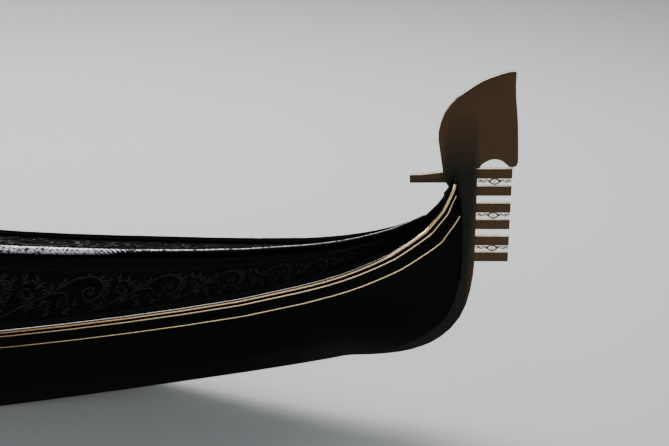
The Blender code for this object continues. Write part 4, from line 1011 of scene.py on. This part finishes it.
for count, z in ((1, door_low.z + 0.045), (2, door_high.z - 0.045)):
    block("door_hinge_leaf_%d" % count, (DOOR_X - 0.0095, door_high.y - 0.026, z - 0.020),
                  (DOOR_X - 0.0065, door_high.y - 0.002, z + 0.020), brass, "bow_door", 0.0008)
    pin = [(DOOR_X - 0.0085, door_high.y - 0.001, z + k, 0.0036 if abs(k) < 0.021 else 0.0022)
           for k in (-0.023, -0.0205, -0.007, 0.007, 0.0205, 0.023)]
    rods("door_hinge_pin_%d" % count, [pin], brass, "bow_door", 3)


# The after deck is built as the fore deck is, and ends over the rowing platform in a lacquered
# gable with a carved fan.
aft_low, aft_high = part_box("aftdeck_ridge")
for side, sign in SIDES:
    wear(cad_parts["aftdeck_" + side], satin)
    carve_deck("aft_" + side, DeckSide("aftdeck_" + side, side, sign), aft_high.x - 0.05,
               aft_low.x + 0.16, -1.0)
soften("aftdeck_end_board", 0.003, lacquer)
carve_gable("aft", "aftdeck_end_board", 1.0, carved)


# The rowing platform and the floor are laid with narrow planks, eased along their edges. A hatch of
# the same planks lifts on two brass butts by a ring.
PLANK_GAP, PLANK_EASE = 0.003, 0.0022
RING_R, RING_BAR, RING_LIFT, RING_IN = 0.024, 0.0032, 0.0045, 0.050
RING_PLATE = ((0.019, 0.0), (0.019, 0.0015), (0.014, 0.0026), (0.006, 0.0040), (0.0055, 0.0085), (0.002, 0.0100))
BUTTS_APART = 0.17

plank_finish = wood("worn_planks", (0.155, 0.098, 0.058), (0.070, 0.042, 0.025), GRAIN["x"], 0.55, 0.0)


def joined(pieces, name):
    """Makes one piece of several."""
    take_up(*pieces)
    bpy.ops.object.join()
    bpy.context.object.name = name
    return bpy.context.object


def planked(node, name, pitch, body):
    """Cuts copies of a CAD board into planks that run along the boat, and joins them."""
    low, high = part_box(node)
    count = max(2, round((high.y - low.y) / pitch))
    edges = [low.y + (high.y - low.y) * k / count for k in range(count + 1)]
    planks = []
    for k in range(count):
        plank = copied(node, "%s_%d" % (name, k), body)
        bpy.ops.object.mode_set(mode="EDIT")
        for edge, side in ((edges[k] + PLANK_GAP / 2, -1.0), (edges[k + 1] - PLANK_GAP / 2, 1.0)):
            bpy.ops.mesh.select_all(action="SELECT")
            bpy.ops.mesh.bisect(plane_co=(0.0, edge, 0.0), plane_no=(0.0, side, 0.0), use_fill=True,
                                clear_outer=True)
        bpy.ops.object.mode_set(mode="OBJECT")
        work(plank, "BEVEL", "eased", width=PLANK_EASE, segments=1, limit_method="ANGLE",
             angle_limit=math.radians(50.0))
        apply_all(plank)
        planks.append(plank)
    laid = joined(planks, name)
    bpy.ops.object.shade_smooth_by_angle(angle=math.radians(30.0))
    wear(laid, plank_finish)
    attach(laid, body)
    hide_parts(node)


planked("rowing_platform", "platform_planks", 0.115, "hull")
planked("floorboards", "floor_planks", 0.105, "hull")
planked("stern_hatch", "hatch_planks", 0.112, "hatch")
soften("foot_wedge", 0.004, walnut_y)
soften("aft_bulkhead", 0.002, lacquer)
hatch_low, hatch_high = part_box("stern_hatch")


def hatch_top(x):
    """Height of the hatch, which lies on the platform's slope."""
    tops = [vertex.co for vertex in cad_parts["stern_hatch"].data.vertices]
    aft = max(at.z for at in tops if at.x < hatch_low.x + 0.01)
    fore = max(at.z for at in tops if at.x > hatch_high.x - 0.01)
    return aft + (fore - aft) * ((x - hatch_low.x) / (hatch_high.x - hatch_low.x))


ring_x, ring_y = hatch_high.x - RING_IN, (hatch_low.y + hatch_high.y) / 2.0
ring = [(ring_x - RING_R + RING_R * math.cos(a), ring_y + RING_R * math.sin(a), hatch_top(ring_x) + RING_LIFT,
         RING_BAR) for a in ROUND]
rods("hatch_ring", [ring], brass, "hatch", 3)
turned("hatch_ring_plate", RING_PLATE, (ring_x, ring_y, hatch_top(ring_x)), brass, "hatch")
for count, y in ((1, ring_y - BUTTS_APART), (2, ring_y + BUTTS_APART)):
    z = hatch_top(hatch_low.x)
    block("hatch_hinge_leaf_%d" % count, (hatch_low.x + 0.001, y - 0.030, z - 0.0005),
                  (hatch_low.x + 0.032, y + 0.030, z + 0.0030), brass, "hatch", 0.0008)
    pin = [(hatch_low.x - 0.0005, y + k, z + 0.0005, 0.0040 if abs(k) < 0.031 else 0.0024)
           for k in (-0.034, -0.0305, -0.010, 0.010, 0.0305, 0.034)]
    rods("hatch_hinge_pin_%d" % count, [pin], brass, "hatch", 3)


# Inside the well a lacquered stringer runs over the ribs on each side, and a gilt moulding frames the
# planking of each bay.
STRINGER_AFT, STRINGER_FORE = -1.690, 2.528
STRINGER_Z, STRINGER_CLIMB = 0.440, 0.030
STRINGER_WIDE, STRINGER_THICK, RIB_PROUD = 0.046, 0.014, 0.031
STRINGER_SECTION = ((0.0, -0.5), (0.0, -0.5), (1.0, -0.42), (1.0, 0.42), (0.0, 0.5), (0.0, 0.5))
BAY_EDGES = (-1.690, -1.169, -0.421, 0.327, 1.075, 1.823, 2.500)
FRAME_IN, FRAME_LOW, FRAME_HIGH, FRAME_R = 0.070, 0.250, 0.385, 0.0032
NOTCH, MOULDING_STEP, MOULDING_SUNK = 0.022, 0.025, 0.0018


def inner_skin(x, sign, z):
    """A point on the inside of the planking."""
    return planking.ray_cast(Vector((x, 0.05 * sign, z)), Vector((0.0, sign, 0.0)))[0]


for side, sign in SIDES:
    def stringer_point(u, v, sign=sign):
        """A point of the stringer's section at a share of its length."""
        x = STRINGER_AFT + (STRINGER_FORE - STRINGER_AFT) * v
        z = STRINGER_Z + STRINGER_CLIMB * (x / 2.3) ** 2
        thick, wide = STRINGER_SECTION[int(round(u * 5))]
        return x, inner_skin(x, sign, z).y - sign * (RIB_PROUD + STRINGER_THICK * thick), z + STRINGER_WIDE * wide

    bent_grid("stringer_" + side, 5, 40, stringer_point, lacquer)
    frames = []
    for aft, fore in zip(BAY_EDGES[:-1], BAY_EDGES[1:]):
        x0, x1, z0, z1 = aft + FRAME_IN, fore - FRAME_IN, FRAME_LOW, FRAME_HIGH
        x2, x3, z2, z3 = x0 + NOTCH, x1 - NOTCH, z0 + NOTCH, z1 - NOTCH
        corners = ((x2, z0), (x3, z0), (x3, z2), (x1, z2), (x1, z3), (x3, z3), (x3, z1), (x2, z1),
                   (x2, z3), (x0, z3), (x0, z2), (x2, z2), (x2, z0))
        frame_line = []
        for (xa, za), (xb, zb) in zip(corners[:-1], corners[1:]):
            steps = max(1, int(max(abs(xb - xa), abs(zb - za)) / MOULDING_STEP))
            for k in range(steps):
                hit = inner_skin(xa + (xb - xa) * k / steps, sign, za + (zb - za) * k / steps)
                frame_line.append((*(hit - Vector((0.0, sign * MOULDING_SUNK, 0.0))), FRAME_R))
        frames.append(frame_line + frame_line[:1])
    rods("bay_mouldings_" + side, frames, gilt)


# The rowlock: a crook carved from one piece of walnut, whose leg drops into a block with a brass
# plate on the starboard side of the platform.
CROOK_VOXEL = 0.0038
PLATE_X, PLATE_Y, HOLE_X, HOLE_Y = 0.062, 0.040, 0.038, 0.024
PLATE_SUNK, PLATE_PROUD = 0.0006, 0.0022

soften("rowlock_socket", 0.005, walnut_x)
crook = copied("rowlock_post", "rowlock_crook", "rowlock")
work(crook, "REMESH", "fair", mode="VOXEL", voxel_size=CROOK_VOXEL)
work(crook, "SMOOTH", "rub_down", factor=0.6, iterations=9)
work(crook, "SUBSURF", "polish", levels=1, render_levels=1)
apply_all(crook)
bpy.ops.object.shade_smooth()
wear(crook, walnut_z)
socket_low, socket_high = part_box("rowlock_socket")
mid_x, mid_y = (socket_low.x + socket_high.x) / 2.0, (socket_low.y + socket_high.y) / 2.0
for label, x0, x1, y0, y1 in (("fore", HOLE_X, PLATE_X, -PLATE_Y, PLATE_Y),
                              ("aft", -PLATE_X, -HOLE_X, -PLATE_Y, PLATE_Y),
                              ("port", -HOLE_X, HOLE_X, HOLE_Y, PLATE_Y),
                              ("starboard", -HOLE_X, HOLE_X, -PLATE_Y, -HOLE_Y)):
    block("socket_plate_" + label, (mid_x + x0, mid_y + y0, socket_high.z - PLATE_SUNK),
                  (mid_x + x1, mid_y + y1, socket_high.z + PLATE_PROUD), brass, "hull", 0.0007)


# The passengers' seat: a walnut bench with a carved, arched back and shaped arms, all upholstered in
# red wool velvet. The cushion has a piped seam, and the back pad is buttoned.
CUSHION_CELL = 0.0155
CROWN_POWER, RIM_FULL, CROWN_FULL = 2.6, 0.72, 0.28
PINCH_CORNER, PINCH_SIDE, SIDE_BULGE = 0.007, 0.008, 0.005
BUTTON_SINK = 0.34
SWELL_FRAMES, SWELL_CAP = 20, 0.014
PIPING_R = 0.0042
PAD_ARCH = 0.090
BUTTON_ROWS = ((0.075, (-0.25, -0.125, 0.0, 0.125, 0.25)), (0.150, (-0.19, -0.063, 0.063, 0.19)),
               (0.222, (-0.125, 0.0, 0.125)))
STUD = ((0.0085, -0.004), (0.0092, -0.001), (0.0080, 0.0025), (0.0045, 0.0048), (0.0012, 0.0054))
NAIL_R, NAILS_OUT = 0.0055, 0.016

velvet = Finish("red_velvet", (0.36, 0.010, 0.012), 0.85, Sheen_Weight=0.15, Sheen_Roughness=0.3, IOR=1.25)
velvet.set("Base Color", velvet.blend(velvet.noise(6.5, detail=8.0), (0.44, 0.013, 0.015), (0.24, 0.006, 0.009)))
velvet.bump(velvet.noise(900.0, detail=2.0) + 0.5 * velvet.noise(60.0, detail=5.0), 0.0006)
gimp = Finish("red_gimp", (0.40, 0.022, 0.016), 0.70, IOR=1.3)
gimp.bump(gimp.noise(700.0, detail=2.0), 0.0008)

for node, finish, width in (("seat_base", walnut_y, 0.006), ("seat_back", walnut_y, 0.005),
                            ("seat_arm_port", walnut_x, 0.009), ("seat_arm_starboard", walnut_x, 0.009)):
    soften(node, width, finish)


def stuffed(name, low, high, fill, face_axis=2, buttons=(), shape=None):
    """A cushion: a box of cloth cells, crowned, pinched between its corners, and then inflated."""
    size = [b - a for a, b in zip(low, high)]
    counts = [max(2, round(side / CUSHION_CELL)) for side in size]
    counts[face_axis] = 4
    pad = begin(bpy.ops.mesh.primitive_cube_add, name, size=1.0, location=(0.5, 0.5, 0.5))
    bpy.ops.object.transform_apply(location=True, rotation=False, scale=True)
    bpy.ops.object.mode_set(mode="EDIT")
    for axis in range(3):
        direction = [1.0 if k == axis else 0.0 for k in range(3)]
        for cut in range(1, counts[axis]):
            bpy.ops.mesh.select_all(action="SELECT")
            bpy.ops.mesh.bisect(plane_co=[d * cut / counts[axis] for d in direction], plane_no=direction)
    bpy.ops.object.mode_set(mode="OBJECT")
    first, second = [k for k in range(3) if k != face_axis]
    held = pad.vertex_groups.new(name="held")
    seam = []
    for vertex in pad.data.vertices:
        u = list(vertex.co)
        a, b, level = u[first] * 2.0 - 1.0, u[second] * 2.0 - 1.0, u[face_axis]
        rim = max(abs(a), abs(b))
        full = (1.0 - abs(a) ** CROWN_POWER) * (1.0 - abs(b) ** CROWN_POWER)
        point = [l + s * t for l, s, t in zip(low, size, u)]
        point[face_axis] = low[face_axis] + size[face_axis] * level * (RIM_FULL + CROWN_FULL * full)
        for axis, side, along in ((first, a, b), (second, b, a)):
            point[axis] -= side * (PINCH_CORNER + PINCH_SIDE * (1.0 - along * along))
            if rim > 0.999:
                point[axis] += side * SIDE_BULGE * math.sin(math.pi * level)
        vertex.co = shape(point, u) if shape else point
        if level < 0.001:
            held.add([vertex.index], 1.0, "REPLACE")
        elif rim > 0.999 and level > 0.999:
            seam.append((math.atan2(b, a), vertex.index))
            held.add([vertex.index], 0.5, "REPLACE")
    tufts = []
    for place in buttons:
        vertex = min(pad.data.vertices, key=lambda v: (v.co - Vector(place)).length)
        vertex.co[face_axis] -= size[face_axis] * BUTTON_SINK
        held.add([vertex.index], 1.0, "REPLACE")
        tufts.append(vertex.index)
    started = [vertex.co.copy() for vertex in pad.data.vertices]
    cloth = pad.modifiers.new("stuffing", "CLOTH")
    cloth.settings.quality = 5
    cloth.settings.use_pressure = True
    cloth.settings.uniform_pressure_force = 4.0
    cloth.settings.effector_weights.gravity = 0.0
    cloth.settings.vertex_group_mass = "held"
    for number in range(1, SWELL_FRAMES + 1):
        bpy.context.scene.frame_set(number)
    apply_all(pad)
    bpy.context.scene.frame_set(1)
    for vertex, start in zip(pad.data.vertices, started):
        moved = vertex.co - start
        if moved.length > SWELL_CAP:
            vertex.co = start + moved * (SWELL_CAP / moved.length)
        vertex.co[face_axis] = max(vertex.co[face_axis], low[face_axis])
    pad.vertex_groups.clear()
    welt = [(*pad.data.vertices[index].co, PIPING_R) for _, index in sorted(seam)]
    studs = [pad.data.vertices[index].co.copy() for index in tufts]
    work(pad, "SUBSURF", "cloth_grain", levels=1, render_levels=1)
    apply_all(pad)
    bpy.ops.object.shade_smooth()
    wear(pad, velvet)
    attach(pad, "hull")
    rods(name + "_piping", [welt + welt[:1]], gimp, sides=2)
    return pad, studs


seat_pad, _ = stuffed("seat_cushion_velvet", *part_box("seat_cushion"), 0.8)
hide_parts("seat_cushion")

pad_low, pad_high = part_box("seat_back_pad")
pad_mid, pad_span = (pad_low.y + pad_high.y) / 2.0, (pad_high.y - pad_low.y) / 2.0


def arch_at(y):
    """Rise of the back pad's arched top above its shoulders."""
    share = max(-1.0, min(1.0, (y - pad_mid) / pad_span))
    return PAD_ARCH * (1.0 - share * share) ** 0.7


def arched(point, u):
    """Draws a point of the back pad up under the arch."""
    rise = arch_at(pad_low.y + u[1] * (pad_high.y - pad_low.y))
    span = pad_high.z - PAD_ARCH + rise - pad_low.z
    return [point[0], point[1], pad_low.z + (point[2] - pad_low.z) * span / (pad_high.z - pad_low.z)]


buttons = [(pad_high.x, pad_mid + dy, pad_low.z + dz) for dz, row in BUTTON_ROWS for dy in row]
back_pad, studs = stuffed("seat_back_velvet", pad_low, pad_high, 0.85, 0, buttons, arched)
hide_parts("seat_back_pad")
for count, place in enumerate(studs):
    turned("seat_button_%02d" % (count + 1), STUD, place + Vector((0.002, 0.0, 0.0)), gimp, sides=12,
                   aim=(1.0, 0.0, 0.0))


def volute(radius, turns, thick, thinner, steps):
    """A curl drawn flat about its own middle: out, up and bar at each step, winding in."""
    last = steps - 1.0
    points = []
    for k in range(steps):
        turn, r = math.tau * turns * k / last, radius * (1.0 - 0.8 * k / last)
        points.append((r * math.cos(turn), r * math.sin(turn), thick - thinner * k / last))
    return points


# domed brass nails hold the cloth along the arch and down both sides of the pad
back_low, back_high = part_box("seat_back")
face, back_mid = back_high.x, (back_low.y + back_high.y) / 2.0
trail = []
for k in range(45):
    y = pad_mid + (2.0 * k / 44.0 - 1.0) * (pad_span + NAILS_OUT)
    trail.append((face, y, pad_high.z - PAD_ARCH + arch_at(y) + 0.020))
for sign in (-1.0, 1.0):
    trail += [(face, pad_mid + sign * (pad_span + NAILS_OUT), pad_low.z + 0.022 * k + 0.012) for k in range(10)]
nail = ((NAIL_R, -0.001), (NAIL_R * 0.86, NAIL_R * 0.32), (NAIL_R * 0.30, NAIL_R * 0.52))
nails = [turned("seat_back_nails_%d" % count, nail, place, brass, "hull", 8, (1.0, 0.0, 0.0))
         for count, place in enumerate(trail)]
joined(nails, "seat_back_nails")

# the crest of the back: a fan of leaves, and three curls with a sprig on each side of it
crest = [[(face, back_mid + x, z, r) for x, z, _, r in lobe]
         for lobe in leaf_fan(5, 0.27, 0.0, back_high.z - 0.062, 0.052, 0.003, 0.0050)]
for sign in (-1.0, 1.0):
    for start, reach in ((0.060, 0.016), (0.135, 0.013), (0.200, 0.010)):
        centre_z = back_high.z - 0.034 - 0.110 * (1.0 - max(0.0, 1.0 - (start / 0.455) ** 2) ** 0.7)
        crest.append([(face, back_mid + sign * (start + reach - out), centre_z + up, r)
                      for out, up, r in volute(reach, 1.3, 0.0036, 0.0018, 20)])
        crest.append([(face, back_mid + sign * (start - 0.012 + 0.05 * t), centre_z - reach - 0.004 + 0.014 * t * t,
                       0.0034 * (1.0 - 0.6 * t)) for t in (0.0, 0.25, 0.5, 0.75, 1.0)])
rods("seat_back_crest", crest, walnut_y, sides=1)


# Two side chairs of turned and shaped walnut that face inwards, with arched backs, urn finials and
# loose cushions of the same velvet.
FINIAL = ((0.010, 0.0), (0.0125, 0.003), (0.0070, 0.006), (0.0062, 0.009), (0.0130, 0.016),
          (0.0140, 0.021), (0.0100, 0.028), (0.0045, 0.033), (0.0055, 0.036), (0.0020, 0.040))
ARM_KNOB = ((0.0120, -0.001), (0.0135, 0.003), (0.0105, 0.007), (0.0030, 0.0090))
POST_HIGH, POST_IN, POST_DEEP = 0.340, 0.0205, 0.0170
ARM_FORE, ARM_HIGH = 0.030, 0.190

for label, sign in SIDES:
    chair = "chair_" + label
    soften(chair, 0.0045, walnut_z)
    low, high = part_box(chair)
    seat_low, seat_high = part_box("chair_cushion_" + label)
    back = high.y if sign > 0 else -low.y
    post_top = seat_low.z + POST_HIGH
    for end, x in (("fore", high.x - POST_IN), ("aft", low.x + POST_IN)):
        turned("chair_finial_%s_%s" % (label, end), FINIAL, (x, sign * (back - POST_DEEP), post_top - 0.001),
                       walnut_z)
        arm_front = (x, sign * (min(abs(seat_low.y), abs(seat_high.y)) - ARM_FORE), seat_low.z + ARM_HIGH)
        turned("chair_arm_knob_%s_%s" % (label, end), ARM_KNOB, arm_front, walnut_z)
    surface = tree_of(chair)
    middle = (low.x + high.x) / 2.0
    fan = leaf_fan(3, 0.42, 0.0, post_top - 0.046, 0.040, 0.003, 0.0040)
    for hand in (-1.0, 1.0):
        fan.append([(hand * (0.092 - out), post_top - 0.022 + up, 0.0, r)
                    for out, up, r in volute(0.015, 1.2, 0.0032, 0.0014, 18)])
    relief = rods("chair_crest_" + label, fan, walnut_z, sides=1)
    for vertex in relief.data.vertices:
        along, up, height = vertex.co
        spot, normal, _, _ = surface.ray_cast(Vector((middle + along, sign * (back - 0.20), up)),
                                              Vector((0.0, sign, 0.0)))
        vertex.co = spot + normal * height * 0.7 if spot is not None else (middle + along, sign * back, up)
    chair_pad, _ = stuffed("chair_velvet_" + label, seat_low, seat_high, 0.75)
    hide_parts("chair_cushion_" + label)


# Cast brass sea horses on the rails beside the seat: a curled tail on a small plinth, a scaled body,
# a mane of fins and two raised fore hooves.
HORSE_BODY = ((-0.20, 0.10, 0.040), (-0.26, 0.17, 0.050), (-0.22, 0.25, 0.062), (-0.10, 0.30, 0.078),
              (0.04, 0.34, 0.098), (0.12, 0.44, 0.128), (0.12, 0.55, 0.138), (0.05, 0.65, 0.118),
              (0.03, 0.75, 0.100), (0.10, 0.84, 0.090), (0.20, 0.885, 0.085), (0.33, 0.84, 0.068),
              (0.45, 0.77, 0.050), (0.555, 0.725, 0.044))
HORSE_TAIL = ((-0.20, 0.10, 0.042), (-0.08, 0.075, 0.042), (0.03, 0.10, 0.036), (0.07, 0.17, 0.028),
              (0.02, 0.22, 0.022), (-0.04, 0.20, 0.015))
HORSE_LEGS = (((0.16, 0.50, 0.060), (0.30, 0.53, 0.042), (0.36, 0.46, 0.030), (0.31, 0.385, 0.026),
               (0.36, 0.36, 0.030)),
              ((0.14, 0.46, 0.055), (0.24, 0.43, 0.036), (0.26, 0.35, 0.028), (0.21, 0.29, 0.024),
               (0.25, 0.265, 0.028)))
HORSE_FINS = ((0.04, 0.93, 0.16, 0.98), (-0.06, 0.86, -0.13, 0.93), (-0.10, 0.77, -0.20, 0.82),
              (-0.12, 0.67, -0.24, 0.71), (-0.13, 0.57, -0.26, 0.58), (-0.07, 0.46, -0.20, 0.44),
              (0.14, 0.95, 0.18, 1.03))
HORSE_SIDE, LEGS_APART = 0.62, 0.006
HORSE_VOXEL = 0.0024
PLINTH_AFT, PLINTH_HALF, PLINTH_EASE = 0.020, 0.013, 0.003

for label, sign in SIDES:
    node = "sea_horse_" + label
    low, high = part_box(node)
    tall = high.z - low.z
    at_x, at_y = low.x + 0.42 * tall, (low.y + high.y) / 2.0

    def cast(points, spread=0.0, tall=tall, at_x=at_x, at_y=at_y, low=low):
        """Brings points given in shares of the horse's height to its place on the rail."""
        return [(at_x + a * tall, at_y + spread, low.z + b * tall, r * tall) for a, b, r in points]

    bars = [cast(HORSE_BODY), cast(HORSE_TAIL), cast(HORSE_LEGS[0], LEGS_APART), cast(HORSE_LEGS[1], -LEGS_APART)]
    for a0, b0, a1, b1 in HORSE_FINS:
        bars.append(cast(((a0 * 0.7 + 0.03, b0, 0.040), ((a0 + a1) / 2, (b0 + b1) / 2, 0.030), (a1, b1, 0.010))))
    horse = rods(node + "_casting", bars, None, sides=4)
    for vertex in horse.data.vertices:
        vertex.co.y = at_y + (vertex.co.y - at_y) * HORSE_SIDE
    plinth = block(node + "_plinth", (low.x + PLINTH_AFT, at_y - PLINTH_HALF, low.z - 0.001),
                   (low.x + 0.84 * tall - PLINTH_AFT, at_y + PLINTH_HALF, low.z + 0.058 * tall),
                   brass, "hull", PLINTH_EASE)
    work(horse, "REMESH", "fused", mode="VOXEL", voxel_size=HORSE_VOXEL)
    work(horse, "SMOOTH", "chased", factor=0.5, iterations=3)
    apply_all(horse)
    bpy.ops.object.shade_smooth()
    wear(horse, brass)
    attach(horse, "hull")
    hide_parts(node)


# The head of the stern: the two rails end against a lacquered cap on the sternpost, with a filler
# between them. A thin dark iron band guards the post, runs on over the cap and ends in a scroll.
FILLER_OUTLINE = ((-5.105, 1.440), (-5.149, 1.485), (-5.199, 1.545), (-5.249, 1.620), (-5.300, 1.690),
                  (-5.300, 1.764), (-5.275, 1.721), (-5.249, 1.678), (-5.224, 1.636), (-5.199, 1.597),
                  (-5.174, 1.564), (-5.149, 1.531), (-5.118, 1.480))
CAP_OUTLINE = ((-5.2960, 1.6870), (-5.3080, 1.6820), (-5.3460, 1.6640), (-5.3655, 1.6580), (-5.3640, 1.6800),
               (-5.3605, 1.6980), (-5.3560, 1.7150), (-5.3505, 1.7310), (-5.3435, 1.7460), (-5.3350, 1.7580),
               (-5.3250, 1.7675), (-5.3140, 1.7730), (-5.3030, 1.7755), (-5.2960, 1.7755))
FILLER_HALF, CAP_HALF = 0.0190, 0.0455
CAP_NARROW, CAP_NARROW_Z, CAP_NARROW_OVER = 0.86, 1.660, 0.070
CAP_AFT, CAP_AFT_X, CAP_AFT_OVER = 0.66, 5.366, 0.062
SCROLL_CENTRE, SCROLL_RADIUS, SCROLL_TURNS = (-5.3090, 1.7865), 0.0095, 1.45
SCROLL_STEPS, SCROLL_WINDS_IN = 36, 0.019
BAND_HALF, BAND_THICK = 0.0120, 0.0046
BAND_FOOT = ((-5.3659, 1.630), (-5.3668, 1.645))

band_iron = Finish("band_iron", (0.030, 0.026, 0.022), 0.36, 1.0)
band_iron.set("Base Color", band_iron.blend(band_iron.noise(18.0, detail=8.0),
                                            (0.045, 0.038, 0.031), (0.014, 0.012, 0.011)))
band_iron.set("Roughness", 0.28 + 0.24 * band_iron.noise(40.0, detail=6.0))
band_iron.bump(band_iron.noise(160.0), 0.0004)
soften("stern_iron", 0.001, band_iron)

plate_of("stern_filler", FILLER_OUTLINE, FILLER_HALF, lacquer, 0.0015)
cap = plate_of("stern_cap", CAP_OUTLINE, CAP_HALF, lacquer, 0.0050)
for vertex in cap.data.vertices:
    fore = min(1.0, max(0.0, (vertex.co.x + CAP_AFT_X) / CAP_AFT_OVER)) ** 0.7
    high = min(1.0, max(0.0, (vertex.co.z - CAP_NARROW_Z) / CAP_NARROW_OVER))
    vertex.co.y *= (CAP_NARROW + (1.0 - CAP_NARROW) * high) * (CAP_AFT + (1.0 - CAP_AFT) * fore)

# the band lies a little proud of the cap's outline, and each point of it gets two sides
band = [*BAND_FOOT, *((x - 0.0012, z + 0.0005) for x, z in CAP_OUTLINE[3:-2])]
for step in range(SCROLL_STEPS + 1):
    turn, r = math.tau * SCROLL_TURNS * step / SCROLL_STEPS, SCROLL_RADIUS * (1.0 - SCROLL_WINDS_IN * step)
    band.append((SCROLL_CENTRE[0] + r * math.sin(turn), SCROLL_CENTRE[1] - r * math.cos(turn)))
band = [Vector((x, 0.0, z)) for x, z in band]
one_side, other_side = [], []
for before, here, after in zip([band[0]] + band[:-1], band, band[1:] + [band[-1]]):
    way = (after - before).normalized()
    out = Vector((-way.z, 0.0, way.x)) * (BAND_THICK / 2.0)
    one_side.append(here + out)
    other_side.append(here - out)
band_outline = [(p.x, p.z) for p in one_side + other_side[::-1]]
plate_of("stern_scroll", band_outline, BAND_HALF, band_iron, 0.0008)
